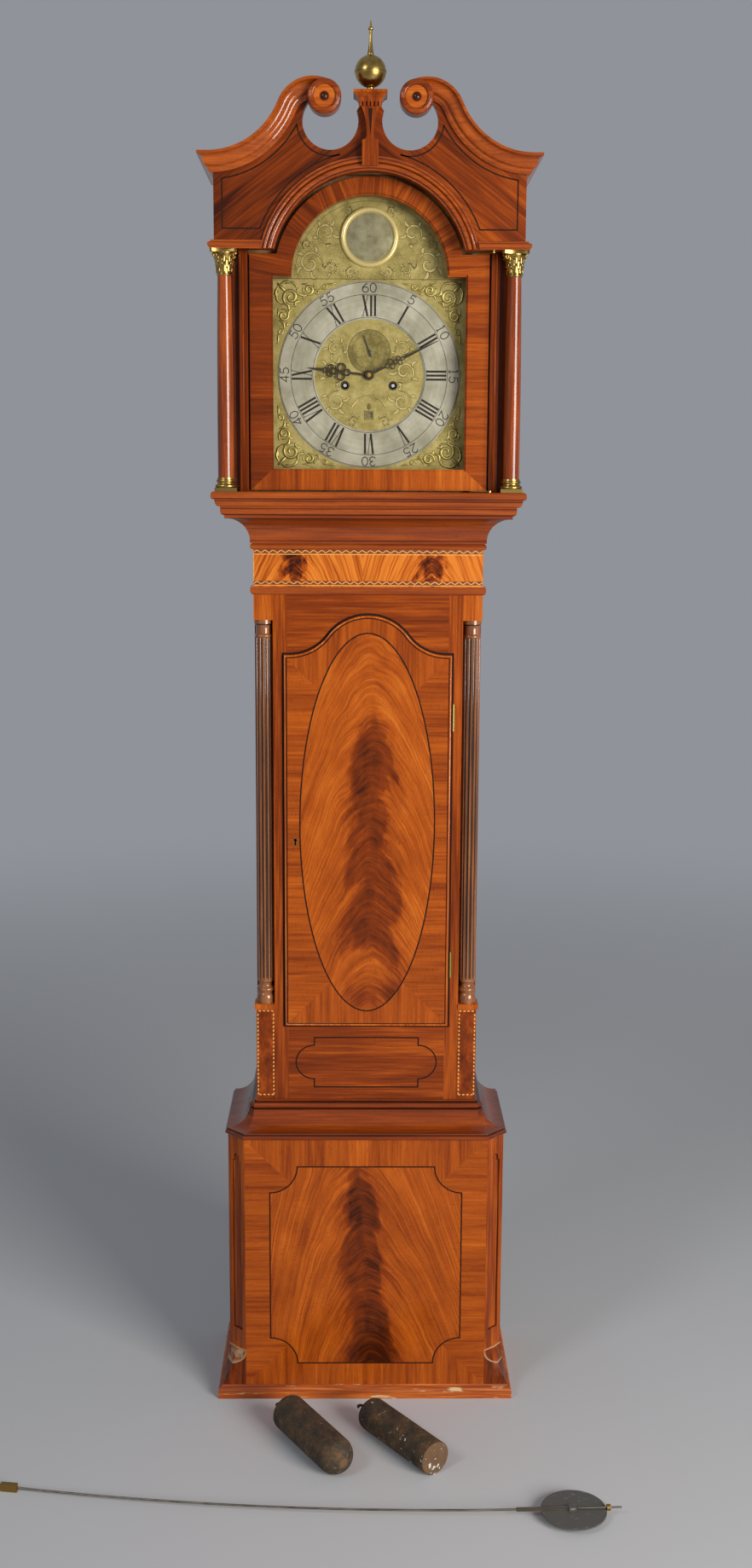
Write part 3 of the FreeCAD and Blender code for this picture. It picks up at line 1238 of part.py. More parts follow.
def hammer():
    y = plate_in + 30.0
    head_z = PLATE_RISE + 16.0
    head_x = -6.0 - BELL_RADIUS - 6.0 - HAMMER[0]
    shaft = arbor((plate_in + 0.3, back_plate - 0.3), ARBOR_RADIUS, (front_plate, plate_out))
    stem = rod(1.5, (0, y, 0), (head_x, y, head_z - HAMMER[1]))
    head = block((head_x - 4, head_x + 4), (y - 6, y + 6), (head_z - HAMMER[1] - 5, head_z - HAMMER[1] + 5))
    tail = rod(1.2, (0, plate_in + 57.0, 0), (3.0, plate_in + 57.0, -9.0))
    boss = rod(4.0, (0, y - 3, 0), (0, y + 3, 0))
    return [placed(fused(shaft, stem, head, tail, boss), HAMMER)]


def pipe(outer, inner, y):
    """Tube on the centre line."""
    return rod(outer, (0, y[0], 0), (0, y[1], 0)).cut(rod(inner, (0, y[0] - 1, 0), (0, y[1] + 1, 0)))


hand_seat = dial_front - 4.0
minute_seat = hand_seat - 3.2


def cannon_wheel():
    y = front_plate - 5.0
    disc = toothed(CANNON_TEETH, MOTION_MODULE, WHEEL_TEETH, -90.0, 1.5, y)
    bore = ARBOR_RADIUS + RUNNING_FIT
    disc = disc.cut(rod(bore, (0, y - 1, 0), (0, y + 3, 0)))
    tube = pipe(CANNON_PIPE, bore, (minute_seat - HAND_PLATE - 0.6, y + 3.5))
    return [placed(fused(disc, tube), CENTRE)]


def minute_wheel():
    y = front_plate - 5.0
    disc = toothed(CANNON_TEETH, MOTION_MODULE, (0.7, 1.15, 0.22, 0.18, 0.08), 90.0 + 180.0 / CANNON_TEETH, 1.5, y)
    leaves = toothed(LEAVES_6, hour_module, PINION_LEAVES, 90.0 + 180.0 / LEAVES_6, 7.0, y - 6.5)
    solid = fused(disc, leaves).cut(rod(1.5 + RUNNING_FIT, (0, y - 10, 0), (0, y + 3, 0)))
    return [placed(solid, MINUTE)]


def hour_wheel():
    y = front_plate - 10.0
    disc = toothed(HOUR_TEETH, hour_module, WHEEL_TEETH, -90.0, 1.5, y)
    bore = CANNON_PIPE + RUNNING_FIT
    windows = []
    for i in range(4):
        x, z = polar((0, 0), 16.5, 45 + 90 * i)
        windows.append(rod(6.5, (x, y - 1, z), (x, y + 3, z)))
    disc = disc.cut([rod(bore, (0, y - 1, 0), (0, y + 3, 0))] + windows)
    tube = pipe(HOUR_PIPE, bore, (hand_seat - HAND_PLATE - 0.4, y + 2.5))
    return [placed(fused(disc, tube), CENTRE)]


def loop(x, z, outer, inner, y):
    """Ring of a pierced hand."""
    return rod(outer, (x, y[0], z), (x, y[1], z)).cut(rod(inner, (x, y[0], z), (x, y[1], z)))


def hand(length, drawn, bore, seat, loops, stem, angle):
    """Pierced hand drawn pointing up at one length, stretched to its own and turned to its time."""
    y = (seat - HAND_PLATE, seat)
    boss = rod(bore + 3.5, (0, y[0], 0), (0, y[1], 0))
    grow = length / drawn
    low, high = [grow * share for share in stem]
    loops = [[grow * share for share in ring] for ring in loops]
    shank = plate([(-2.2, bore), (2.2, bore), (1.5, low), (-1.5, low)], y)
    blade = plate([(-1.9, high), (1.9, high), (2.3, high + 5 * grow), (0.5, length), (-0.5, length),
                   (-2.3, high + 5 * grow)], y)
    rings = [loop(x, z, outer, inner, y) for x, z, outer, inner in loops]
    piece = fused(boss, shank, blade, *rings).cut(rod(bore, (0, y[0] - 1, 0), (0, y[1] + 1, 0)))
    piece.rotate(Vector(0, 0, 0), Vector(0, 1, 0), angle)
    piece.translate(Vector(0, 0, dial_z))
    return [piece]


def hour_hand():
    loops = [(0, 36, 6, 3.6), (-7.1, 46, 7.4, 4.8), (7.1, 46, 7.4, 4.8), (0, 56.5, 6.2, 3.6), (-5.6, 64, 5.2, 3.0),
             (5.6, 64, 5.2, 3.0), (0, 71.5, 4.6, 2.4)]
    return hand(ring_inner + HOUR_HAND_LAP, HOUR_HAND_DRAWN, HOUR_PIPE, hand_seat, loops, (31.5, 75.0), HOUR_ANGLE)


def minute_hand():
    loops = [(0, 33, 4.2, 2.4), (-4.4, 40.5, 4.8, 3.0), (4.4, 40.5, 4.8, 3.0), (0, 48, 4.2, 2.4),
             (-3.8, 54.5, 4.0, 2.4), (3.8, 54.5, 4.0, 2.4), (0, 61, 3.6, 2.0)]
    return hand(ring_outer - MINUTE_HAND_SHORT, MINUTE_HAND_DRAWN, CANNON_PIPE, minute_seat, loops, (30.0, 64.0),
                MINUTE_ANGLE)


def weight(r, length, domed, near, degrees):
    """Iron weight lying on the floor, near end at near, pointing along degrees."""
    if domed:
        end = [(0, 0), (dome(r, r * 0.95, 0)[0], (r, r * 0.95))]
    else:
        end = [(0, 0), (r - 1.5, 0), (r, 1.5)]
    body = turned(end + [(r, length - 10), ((r - 3, length - 3), (r - 11, length)), (5, length), (5, length + 4),
                         (0, length + 4)])
    # Open hook of bent wire, in short bends; the first one grows out of the neck
    centre = (0, length + 3 + HOOK_RADIUS)
    bends = []
    for i in range(5):
        turn = math.radians(242 + 56 * i)
        spot = Vector(0, centre[0] + HOOK_RADIUS * math.cos(turn), centre[1] + HOOK_RADIUS * math.sin(turn))
        ring = Part.makeCircle(HOOK_WIRE, spot, Vector(0, -math.sin(turn), math.cos(turn)))
        face = Part.Face(Part.Wire([ring]))
        bends.append(face.revolve(Vector(0, centre[0], centre[1]), Vector(1, 0, 0), 56))
    pieces = [fused(body, bends[0])] + bends[1:]
    for piece in pieces:
        piece.rotate(Vector(0, 0, 0), Vector(0, 0, 1), 200)
        piece.rotate(Vector(0, 0, 0), Vector(0, 1, 0), 90)
        piece.rotate(Vector(0, 0, 0), Vector(0, 0, 1), degrees)
        piece.translate(Vector(near[0], near[1], r))
    return pieces


def round_weight():
    return weight(ROUND_WEIGHT_RADIUS, ROUND_WEIGHT, True, (ROUND_WEIGHT_X, ROUND_WEIGHT_Y), 122.0)


def flat_weight():
    return weight(FLAT_WEIGHT_RADIUS, FLAT_WEIGHT, False, (FLAT_WEIGHT_X, FLAT_WEIGHT_Y), 127.0)


def laid_down(piece):
    """Place a pendulum piece, drawn along X with the bob at zero, on the floor."""
    drop = BOB_DEPTH + STRIP_HALF - 6.5
    piece.rotate(Vector(0, 0, 0), Vector(0, 1, 0), -math.degrees(math.atan(drop / ROD_LENGTH)))
    piece.rotate(Vector(0, 0, 0), Vector(0, 0, 1), 1.3)
    piece.translate(Vector(PENDULUM_X, PENDULUM_Y, BOB_DEPTH + STRIP_HALF + 0.3))
    return piece


def pendulum_rod():
    start = Vector(-STRIP_LENGTH, 0, 0)
    bend = Vector(-STRIP_LENGTH - ROD_BEND_AT, ROD_BEND, 0)
    end = Vector(-ROD_LENGTH, ROD_SWAY, 0)
    path = Part.Wire([Part.Arc(start, bend, end).toShape()])
    ring = Part.Wire([Part.makeCircle(ROD_RADIUS, start, path.Edges[0].tangentAt(path.Edges[0].FirstParameter))])
    wire_rod = path.makePipeShell([ring], True, False)
    strip = block((-STRIP_LENGTH - 6, 6), (-3.0, 3.0), (-STRIP_HALF, STRIP_HALF))
    screw = rod(1.5, (5, 0, 0), (BOB_RADIUS + 24, 0, 0))
    nut = rod(5.0, (BOB_RADIUS + 0.3, 0, 0), (BOB_RADIUS + 6, 0, 0))
    lean = math.degrees(math.atan2(ROD_SWAY - ROD_BEND, -(ROD_LENGTH - STRIP_LENGTH - ROD_BEND_AT)))
    chop = block((-1, 26), (-4, 4), (-6.3, 6.3))
    spring = block((25, 26 + SPRING_LENGTH), (-0.25, 0.25), (-5.2, 5.2))
    head = block((25 + SPRING_LENGTH, 33 + SPRING_LENGTH), (-2.5, 2.5), (-5.5, 5.5))
    top = fused(chop, spring, head)
    top.rotate(Vector(0, 0, 0), Vector(0, 0, 1), lean)
    top.translate(end)
    return [laid_down(fused(wire_rod, strip, screw, nut, top))]


def pendulum_bob():
    r = BOB_RADIUS
    back = -STRIP_HALF
    rim = back - 2.5
    low = dome(r, rim, back - BOB_DEPTH)
    lens = turned([(0, back - BOB_DEPTH), (low[0], (r, rim)), (r, back), (0, back)])
    # Staple on the flat back, which holds the strip
    staple = block((-8, 4), (-5.5, 5.5), (back - 1, STRIP_HALF + 1.5))
    staple = staple.cut(block((-9, 5), (-3.0, 3.0), (back, STRIP_HALF)))
    return [laid_down(fused(lens, staple))]


NODES = (base_front_panel, base_corner_posts, base_carcase, base_plinth_moulding, waist_moulding, backboard,
         trunk_sides, trunk_stiles, trunk_rails, trunk_column_blocks, trunk_columns, frieze_board, throat_mouldings,
         trunk_hinges_fixed, trunk_hinges_door, trunk_door_panel, trunk_lock, seatboard, dial_plate, chapter_ring,
         dial_spandrels, arch_boss, date_ring, movement_frame, bell, hammer, going_barrel, centre_wheel, third_wheel,
         escape_wheel, pallet_anchor, strike_barrel, strike_pin_wheel, strike_gathering_wheel, strike_warning_wheel,
         strike_fly, cannon_wheel, minute_wheel, hour_wheel, minute_hand, hour_hand, hood_base_frame,
         hood_side_frames, pediment_board, hood_arch_moulding, hood_cornice, pediment_roundels, finial_pedestal,
         finial, hood_columns, hood_column_brasses, hood_roof, dial_mask, hood_door_frame, hood_door_glass,
         hood_door_hinges, pendulum_rod, pendulum_bob, round_weight, flat_weight)

os.makedirs("parts", exist_ok=True)
for make in NODES:
    pieces = make()
    solids = [solid for piece in pieces for solid in piece.Solids]
    shape = solids[0] if len(solids) == 1 else Part.makeCompound(solids)
    shape.exportStep("parts/%s.step" % make.__name__)
    sound = all(solid.isValid() for solid in solids) and len(solids) == len(pieces)
    print(make.__name__, len(pieces), "pieces", len(solids), "solids", "" if sound else "CHECK")
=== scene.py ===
# %% [markdown]
# # A longcase clock, dressed
# The solids of the clock come in as a fixed frame: every board, moulding, wheel and hand is already in its
# place, at its real size. This lesson gives them their finishes, and adds the thin things that a maker would
# put on last: stringing, numerals, engraving, cast ornaments and beads. Lengths below are in millimetres and
# are turned into metres only where a mesh is made.

# %% Load the frame
import bmesh
import bpy
import numpy as np
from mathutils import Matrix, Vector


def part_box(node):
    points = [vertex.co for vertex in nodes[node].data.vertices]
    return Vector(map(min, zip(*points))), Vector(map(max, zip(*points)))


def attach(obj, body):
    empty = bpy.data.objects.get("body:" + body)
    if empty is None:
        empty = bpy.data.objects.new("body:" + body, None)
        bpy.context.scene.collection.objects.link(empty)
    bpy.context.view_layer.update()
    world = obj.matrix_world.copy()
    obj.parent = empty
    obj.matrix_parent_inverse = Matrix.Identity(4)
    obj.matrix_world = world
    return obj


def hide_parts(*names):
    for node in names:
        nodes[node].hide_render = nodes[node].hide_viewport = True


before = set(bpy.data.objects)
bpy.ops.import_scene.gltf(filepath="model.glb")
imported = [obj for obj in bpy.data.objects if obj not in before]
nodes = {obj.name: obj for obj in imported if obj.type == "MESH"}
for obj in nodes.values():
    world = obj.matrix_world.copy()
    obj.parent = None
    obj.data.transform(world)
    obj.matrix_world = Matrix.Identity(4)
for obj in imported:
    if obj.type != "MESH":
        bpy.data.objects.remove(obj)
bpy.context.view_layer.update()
METRE = 0.001

# %% [markdown]
# ## The camera
# The photograph was taken from about eye height, a little below three metres away, looking slightly down. The
# camera could be nudged by eye until the edges agree. Here it is set from an eye point and three turns, which is
# how a surveyor would note it, so that the picture's verticals converge as they do in the photograph.

# %% Set the camera
EYE = np.array([-17.5, -2866.5, 1585.2])
PITCH_DOWN = np.radians(9.769)
YAW_RIGHT = np.radians(0.661)
ROLL = np.radians(0.29)
FOCAL_PIXELS = 1950.0
PICTURE_HEIGHT = 1839.0
SENSOR = 36.0


def camera_matrix():
    """Columns are the camera's right, up and backward directions and its eye point."""
    ahead = np.array([np.sin(YAW_RIGHT) * np.cos(PITCH_DOWN), np.cos(YAW_RIGHT) * np.cos(PITCH_DOWN),
                      -np.sin(PITCH_DOWN)])
    level = np.array([np.cos(YAW_RIGHT), -np.sin(YAW_RIGHT), 0.0])
    upright = np.cross(level, ahead)
    right = np.cos(ROLL) * level + np.sin(ROLL) * upright
    up = -np.sin(ROLL) * level + np.cos(ROLL) * upright
    matrix = np.eye(4)
    matrix[:3] = np.column_stack([right, up, -ahead, EYE * METRE])
    return matrix


camera = bpy.data.objects.new("camera", bpy.data.cameras.new("camera"))
camera.data.sensor_width = SENSOR
camera.data.lens = SENSOR * FOCAL_PIXELS / PICTURE_HEIGHT
camera.matrix_world = camera_matrix().T.tolist()
bpy.context.collection.objects.link(camera)
bpy.context.scene.camera = camera
bpy.context.scene.view_settings.view_transform = "Standard"
print("camera lens", round(camera.data.lens, 2), "mm")

# %% [markdown]
# ## Shader maths as expressions
# A finish could be wired by hand, node by node, but one board alone would fill a page. A node tree is easier to
# read as a formula. The class below wraps one socket; plus, minus, times and the rest add Math nodes, and one
# method makes every other kind of node.

# %% A socket that can be reckoned with
class Wire:
    """One output socket of a finish; operators between wires and numbers add Math nodes."""

    def __init__(self, socket):
        self.socket = socket
        self.tree = socket.id_data

    def node(self, kind, settings, sockets, out=0):
        """A node of that type: its settings are set first, then its sockets get values or wires."""
        made = self.tree.nodes.new("ShaderNode" + kind)
        for name, value in settings.items():
            if name == "stops":
                ramp = made.color_ramp.elements
                for place, _ in value[2:]:
                    ramp.new(place)
                for stop, (place, colour) in zip(ramp, sorted(value)):
                    stop.position = place
                    stop.color = colour
            else:
                setattr(made, name, value)
        for name, value in sockets.items():
            if isinstance(value, Wire):
                self.tree.links.new(value.socket, made.inputs[name])
            else:
                made.inputs[name].default_value = value
        return Wire(made.outputs[out])

    def math(self, operation, *others):
        """A Math node on this wire and the others."""
        return self.node("Math", {"operation": operation}, dict(enumerate((self,) + others)))

    def __add__(self, other):
        return self.math("ADD", other)

    def __sub__(self, other):
        return self.math("SUBTRACT", other)

    def __mul__(self, other):
        return self.math("MULTIPLY", other)

    def __truediv__(self, other):
        return self.math("DIVIDE", other)

    def __pow__(self, other):
        return self.math("POWER", other)

    def __rsub__(self, other):
        return self * -1.0 + other

    def __abs__(self):
        return self.math("ABSOLUTE")

    __radd__ = __add__
    __rmul__ = __mul__


print("wires ready")

# %% Formulas of wires
def smooth(value, low, high):
    """0 below low, 1 above high and a smooth step between."""
    return value.node("MapRange", {"interpolation_type": "SMOOTHSTEP"},
                      {"Value": value, "From Min": low, "From Max": high})


def fade(value, low, high):
    """The reverse: 1 below low and 0 above high."""
    return 1.0 - smooth(value, low, high)


def away(u, v):
    """How far a point is from u = v = 0: the root of the sum of both squares."""
    return (u * u + v * v) ** 0.5


def blend(share, first, second):
    """Two colours mixed: the first where share is 0, the second where it is 1."""
    return share.node("Mix", {"data_type": "RGBA"}, {0: share, 6: first, 7: second}, out=2)


def vector(x, y, z):
    """Three numbers, of which one at least is a wire, as a vector."""
    wire = [v for v in (x, y, z) if isinstance(v, Wire)][0]
    return wire.node("CombineXYZ", {}, {0: x, 1: y, 2: z})


def noise(place, scale=1.0, detail=3.0, rough=0.5):
    """Smooth noise from 0 to 1 about one half."""
    return place.node("TexNoise", {}, {"Vector": place, "Scale": scale, "Detail": detail, "Roughness": rough})


def ramp(value, *stops):
    """Colours along 0 to 1, as (place, colour) stops."""
    return value.node("ValToRGB", {"stops": stops}, {0: value})


print("formulas ready")

# %% Finishes
def tint(red, green, blue):
    """A colour as it looks on a screen, 0 to 255, turned into the linear colour that a shader takes."""
    share = np.array([red, green, blue]) / 255.0
    linear = np.where(share > 0.04045, ((share + 0.055) / 1.055) ** 2.4, share / 12.92)
    return (*linear.tolist(), 1.0)


def finish(name, **fixed):
    """A new finish: its material, its place in millimetres as x, y, z wires, and the whole place as a vector."""
    material = bpy.data.materials.new(name)
    material.use_nodes = True
    shader = material.node_tree.nodes["Principled BSDF"]
    for socket, value in fixed.items():
        shader.inputs[socket.replace("_", " ")].default_value = value
    coordinate = material.node_tree.nodes.new("ShaderNodeTexCoord")
    metres = Wire(coordinate.outputs["Object"])
    place = metres.node("VectorMath", {"operation": "SCALE"}, {0: metres, "Scale": 1.0 / METRE})
    split = place.node("SeparateXYZ", {}, {0: place}).socket.node
    return material, [Wire(out) for out in split.outputs], place


def facing(material):
    """How far the surface faces along x, y and z, in the piece's own frame."""
    coordinate = [node for node in material.node_tree.nodes if node.type == "TEX_COORD"][0]
    normal = Wire(coordinate.outputs["Normal"])
    split = normal.node("SeparateXYZ", {}, {0: normal}).socket.node
    return [Wire(out) for out in split.outputs]


def feed(material, **wires):
    """Leads wires into the finish's own shader."""
    shader = material.node_tree.nodes["Principled BSDF"]
    for socket, wire in wires.items():
        material.node_tree.links.new(wire.socket, shader.inputs[socket.replace("_", " ")])


def emboss(material, height, depth):
    """Small relief: height is 0 to 1, depth is in millimetres."""
    bump = height.node("Bump", {}, {"Height": height, "Distance": depth * METRE, "Strength": 1.0})
    feed(material, Normal=bump)


def mottled(name, dark, pale, scale, detail=3.0, **fixed):
    """A finish that wavers between two tones, by noise of that scale."""
    material, _, place = finish(name, **fixed)
    feed(material, Base_Color=ramp(noise(place, scale, detail), (0.3, dark), (0.7, pale)))
    return material


print("shader maths ready")

# %% [markdown]
# ## Mahogany
# The case is polished mahogany. Its look has three layers: broad ribbons of tone along the grain, fine dark
# pores like short pen strokes, and on the show panels a figure cut from a tree's crotch, a dark plume with
# feather lines that fall away on both sides. A picture of wood could be wrapped round every board, but it would
# break at the edges. Noise that is stretched along the grain goes right through the board, as real grain does, so
# the only thing that differs from board to board is which way the grain runs.

# %% Plain mahogany by the run of its grain
MAHOGANY = (tint(58, 20, 4), tint(128, 52, 9), tint(174, 82, 17), tint(218, 124, 42))
ALONG_X, ALONG_Z = 0, 2


def ripple(x, y, z, detail=3.0, rough=0.55):
    """Noise about zero, mostly within a quarter to each side."""
    return noise(vector(x, y, z), 1.0, detail, rough) - 0.5


def either(share, first, second):
    """The first number where share is 0, the second where it is 1."""
    return first + (second - first) * share


def timber(along, across, depth):
    """Tone and pores of a board: noise squeezed across the grain and drawn out along it."""
    ribbons = ripple(along * 0.003, across * 0.045, depth * 0.045)
    streaks = ripple(along * 0.006, across * 0.12, depth * 0.12)
    lines = ripple(along * 0.010, across * 0.30, depth * 0.30)
    pores = ripple(along * 0.10, across * 1.7, depth * 1.7, 1.0)
    return 0.53 + ribbons * 0.50 + streaks * 0.34 + lines * 0.50, smooth(pores, 0.12, 0.24)


def wood_colour(tone, colours=MAHOGANY):
    """Four colours of wood, from dark to pale as the tone rises."""
    dark, red, warm, pale = colours
    return ramp(tone, (0.14, dark), (0.84, pale), (0.42, red), (0.60, warm))


def polish(material, tone, pores, coat=0.15, colours=MAHOGANY):
    """Colours a board from its tone and pores and gives it a worn polish under a thin clear coat; returns the
    colour, so that scuffs can be laid over it."""
    wood = blend(pores * 0.60, wood_colour(tone, colours), colours[0])
    feed(material, Base_Color=wood, Roughness=0.32 + pores * 0.14)
    emboss(material, 1.0 - pores, 0.015)
    shader = material.node_tree.nodes["Principled BSDF"]
    for socket, value in (("Specular IOR Level", 0.12), ("Coat Weight", coat), ("Coat Roughness", 0.07)):
        shader.inputs[socket].default_value = value
    return wood


def board(name, run, lift, *look):
    """Plain mahogany whose grain runs along x, y or z; lift makes it paler, and look goes on to the polish."""
    material, axes, _ = finish(name)
    tone, pores = timber(*[axes[(run + k) % 3] for k in range(3)])
    polish(material, tone + lift, pores, *look)
    return material


upright_board = board("upright mahogany", ALONG_Z, -0.07)
side_board = board("side mahogany", ALONG_Z, -0.12)
# The hood's side frames are darker: painted shade behind the columns.
shaded_hood_board = board("hood side mahogany with painted shade", ALONG_Z, -0.20)
dark_rail = board("rail mahogany", ALONG_X, -0.10)
console_board = board("console mahogany", ALONG_Z, -0.03)
red_column = board("column mahogany", ALONG_Z, -0.09, 0.8)
print("plain boards ready")

# %% Fluted columns
BROWN_WOOD = (tint(40, 20, 9), tint(98, 56, 29), tint(136, 82, 45), tint(176, 114, 66))
TRUNK_COLUMN, SHAFT_LOW, SHAFT_HIGH, FLUTES = (176.0, -54.0), 757.0, 1352.0, 12.0
NECK_GROOVE = SHAFT_HIGH + 22.5
fluted_column, (x, y, z), _ = finish("fluted mahogany")
tone, pores = timber(z, x, y)
turn = (abs(x) - TRUNK_COLUMN[0]).math("ARCTAN2", TRUNK_COLUMN[1] - y)
shaft = smooth(z, SHAFT_LOW, SHAFT_LOW + 4.0) * fade(z, SHAFT_HIGH - 4.0, SHAFT_HIGH)
# Painted shade: the flutes darken by their angle round the column, and a thin dark line lies in the neck groove.
flute_shade = smooth((turn * FLUTES).math("COSINE") * -1.0, -0.3, 0.5) * shaft
neck_groove_shade = fade(abs(z - NECK_GROOVE), 0.8, 1.8)
polish(fluted_column, tone + 0.06 - flute_shade * 0.42 - neck_groove_shade * 0.40, pores, 1.0, BROWN_WOOD)
print("fluted columns ready")

# %% [markdown]
# ### Mouldings and worn edges
# A moulding runs round three sides of the case, and its grain turns the corner with it. The finish looks at
# which way the surface faces and takes the grain along the front or along the side. Thin dark lines of painted
# shade lie in the quirks between the curves; the throat under the hood gets a little painted shade, and the side
# faces of the waist moulding more. The plinth has been knocked about for two hundred years: its polish is
# chipped down to bare pale wood. The round stops at the foot of the corner posts carry a painted highlight round
# their rims, and the left one is paler all over, partly rubbed and partly a painted highlight.

# %% Mouldings and plinth
def run_of_moulding(material, x, y, z):
    """Tone, pores and which faces look sideways: the grain runs along x on the front and along y on the sides."""
    sideways = smooth(abs(facing(material)[0]), 0.60, 0.64)
    return timber(either(sideways, x, y), z, either(sideways, y, x)) + (sideways,)


def thin_lines(value, places):
    """1 on thin lines, where the value is at one of the places."""
    return sum(fade(abs(value - place), 0.5, 1.7) for place in places)


ARCH_Z = 1936.0
QUIRK_HEIGHTS = (492.5, 526.0, 537.0, 1514.0, 1551.0, 1557.0, 1567.0, 1579.0, 1582.5)
QUIRK_RADII = (158.6, 167.2, 174.0)
WAIST_TOP, THROAT_LOW, THROAT_HIGH = 560.0, 1500.0, 1564.0
moulding_board, (x, y, z), _ = finish("moulding mahogany")
tone, pores, sideways = run_of_moulding(moulding_board, x, y, z)
# Painted shade: thin dark lines at the steps of the profiles, by height and by radius round the arch.
moulding_quirk_shade = thin_lines(z, QUIRK_HEIGHTS) + thin_lines(away(x, z - ARCH_Z), QUIRK_RADII)
# The waist moulding is darker by a fixed step, and its side faces are darker still as painted shade.
waist = fade(z, WAIST_TOP, WAIST_TOP + 40.0) * (0.09 + sideways * 0.16)
# Painted shade: the throat under the hood is a little darker.
throat = smooth(z, THROAT_LOW, THROAT_LOW + 12.0) * fade(z, THROAT_HIGH - 12.0, THROAT_HIGH)
polish(moulding_board, tone * 0.6 + 0.19 - waist - throat * 0.06 - moulding_quirk_shade * 0.24, pores, 0.7)

worn_plinth, (x, y, z), _ = finish("worn plinth")
tone = run_of_moulding(worn_plinth, x, y, z)[0]
chips = smooth(ripple(x * 0.022, y * 0.022, z * 0.16, 4.0), 0.11, 0.19)
scuffs = smooth(ripple(x * 0.012, y * 0.012, z * 0.5, 4.0), -0.04, 0.18)
wood = wood_colour(tone + scuffs * 0.20)
feed(worn_plinth, Base_Color=blend(chips, wood, tint(206, 172, 128)), Roughness=0.42 + chips * 0.3)
emboss(worn_plinth, 1.0 - chips, 0.4)
print("mouldings ready")

# %% Corner posts with worn round stops and painted highlights
STOP, STOP_REACH = (243.0, 87.0), (31.0, 27.0)
corner_post, (x, y, z), _ = finish("corner post mahogany")
tone, pores = timber(z, x, y)
below = fade(z, STOP[1] - 0.5, STOP[1] + 0.5)
round_stop = away((abs(x) - STOP[0]) / STOP_REACH[0], (z - STOP[1]) / STOP_REACH[1])
tongue = below * fade(round_stop, 0.93, 0.97)
# Painted highlight: a pale line round each stop's rim and a pale band just above the stops.
rim = below * smooth(round_stop, 0.93, 0.96) * fade(round_stop, 1.02, 1.05)
rim = rim + smooth(z, STOP[1], STOP[1] + 1.0) * fade(z, STOP[1] + 2.5, STOP[1] + 3.5)
flaking = smooth(ripple(x * 0.08, y * 0.08, z * 0.08, 4.0), -0.2, 0.15)
# The left stop is paler all over: partly wear, partly painted highlight.
worn = tongue * smooth(x * -1.0, 0.0, 1.0) * flaking
wood = polish(corner_post, tone - 0.06 - below * 0.22 + tongue * 0.10, pores)
feed(corner_post, Base_Color=blend(worn * 0.75 + rim * 0.6, wood, tint(186, 160, 122)))
print("corner posts ready")

# %% [markdown]
# ### Figured veneers
# The door and the base panel are faced with crotch veneer: a dark heart stands on the middle line and feather
# lines fall away from it. A feather line is a curve on which height plus slope times distance from the middle
# is constant, so noise of that sum draws all of them at once. A string inlay divides the figure from a border
# whose grain runs across it, with mitres at the corners.

# %% The figure of crotch veneer
def hang(u, z, seed):
    """Where the feather line through a point meets the middle: z plus half the distance plus a bow that steepens
    outwards, a little bent by noise."""
    side = (u * u + 260.0) ** 0.5
    return z + side * 0.55 + u * u * 0.011 + ripple(u * 0.012, z * 0.008, seed, 2.0) * 60.0


def feathers(u, z, seed):
    """Tone of lines that fall away on both sides of u = 0: three scales of noise along the hang."""
    drop = hang(u, z, seed)
    broad = ripple(drop * 0.018, u * 0.006, seed + 1.0)
    fine = ripple(drop * 0.10, u * 0.014, seed + 2.0, 4.0)
    hairs = ripple(drop * 0.40, u * 0.03, seed + 3.0)
    mottle = ripple(u * 0.02, z * 0.012, seed + 4.0, 4.0)
    return broad * 0.26 + fine * 0.48 + hairs * 0.36 + mottle * 0.30


def heart(u, z, half, low, high, seed):
    """1 inside a ragged tongue about u = 0 that widens downwards, fading to 0 outside, gently on the left and more
    sharply on the right, with lighter waves in it."""
    side = abs(u)
    right = smooth(u, -8.0, 8.0)
    wide = half * 1.35 - (z - low) * (half * 0.75 / (high - low))
    ragged = (side + ripple(hang(u, z, seed) * 0.016, u * 0.016, seed, 5.0, 0.6) * (half * 2.2)) / wide
    core = fade(ragged, 0.62, either(right, 1.15, 0.90))
    tongue = core * 0.6 + fade(ragged, 0.20, 1.75) * 0.4
    waves = ripple(u * 0.010, z * 0.13 + side * 0.06, seed + 5.0) * 0.8 + ripple(u * 0.03, z * 0.010, seed + 6.0) * 1.5
    ends = smooth(z, low, low + 60.0) * fade(z + side * 1.6, high - 70.0, high)
    return tongue * ends * (0.95 + waves)


def crossed(x, z, level):
    """Timber whose grain runs along x where level is 0 and along z where it is 1."""
    tone, pores = timber(either(level, x, z), either(level, z, x), 5.0)
    return tone * 0.7 + 0.15, pores


print("figure ready")

# %% Door panel
DOOR_HALF, DOOR_LOW, DOOR_SHOULDER = 141.5, 676.0, 1324.0
OVAL_CENTRE, OVAL_HALF = (0.0, 1032.5), (115.0, 328.5)
HEART_X, PALE_TIP = 9.0, 775.0
door_veneer, (x, y, z), _ = finish("door veneer")
oval = (x / OVAL_HALF[0]) ** 2.0 + ((z - OVAL_CENTRE[1]) / OVAL_HALF[1]) ** 2.0
inside = fade(oval, 0.99, 1.01)
edge = DOOR_HALF - abs(x)
ends = smooth(edge - (z - DOOR_LOW), -0.6, 0.6) + smooth(edge + (z - DOOR_SHOULDER), -0.6, 0.6)
border, _ = crossed(x, z, ends)
u = x - HEART_X
tip = fade(away(x, z - PALE_TIP), 20.0, 62.0)
dark = heart(u, z, half=46.0, low=690.0, high=1265.0, seed=12.0) * (1.0 - tip * 0.75)
figure = 0.59 + feathers(u, z, seed=11.0) - dark * 0.27
plain, pores = timber(z, x, y)
inner_face = smooth(facing(door_veneer)[1], 0.4, 0.6)
polish(door_veneer, either(inner_face, either(inside, border, figure), plain - 0.04), pores)
print("door panel ready")

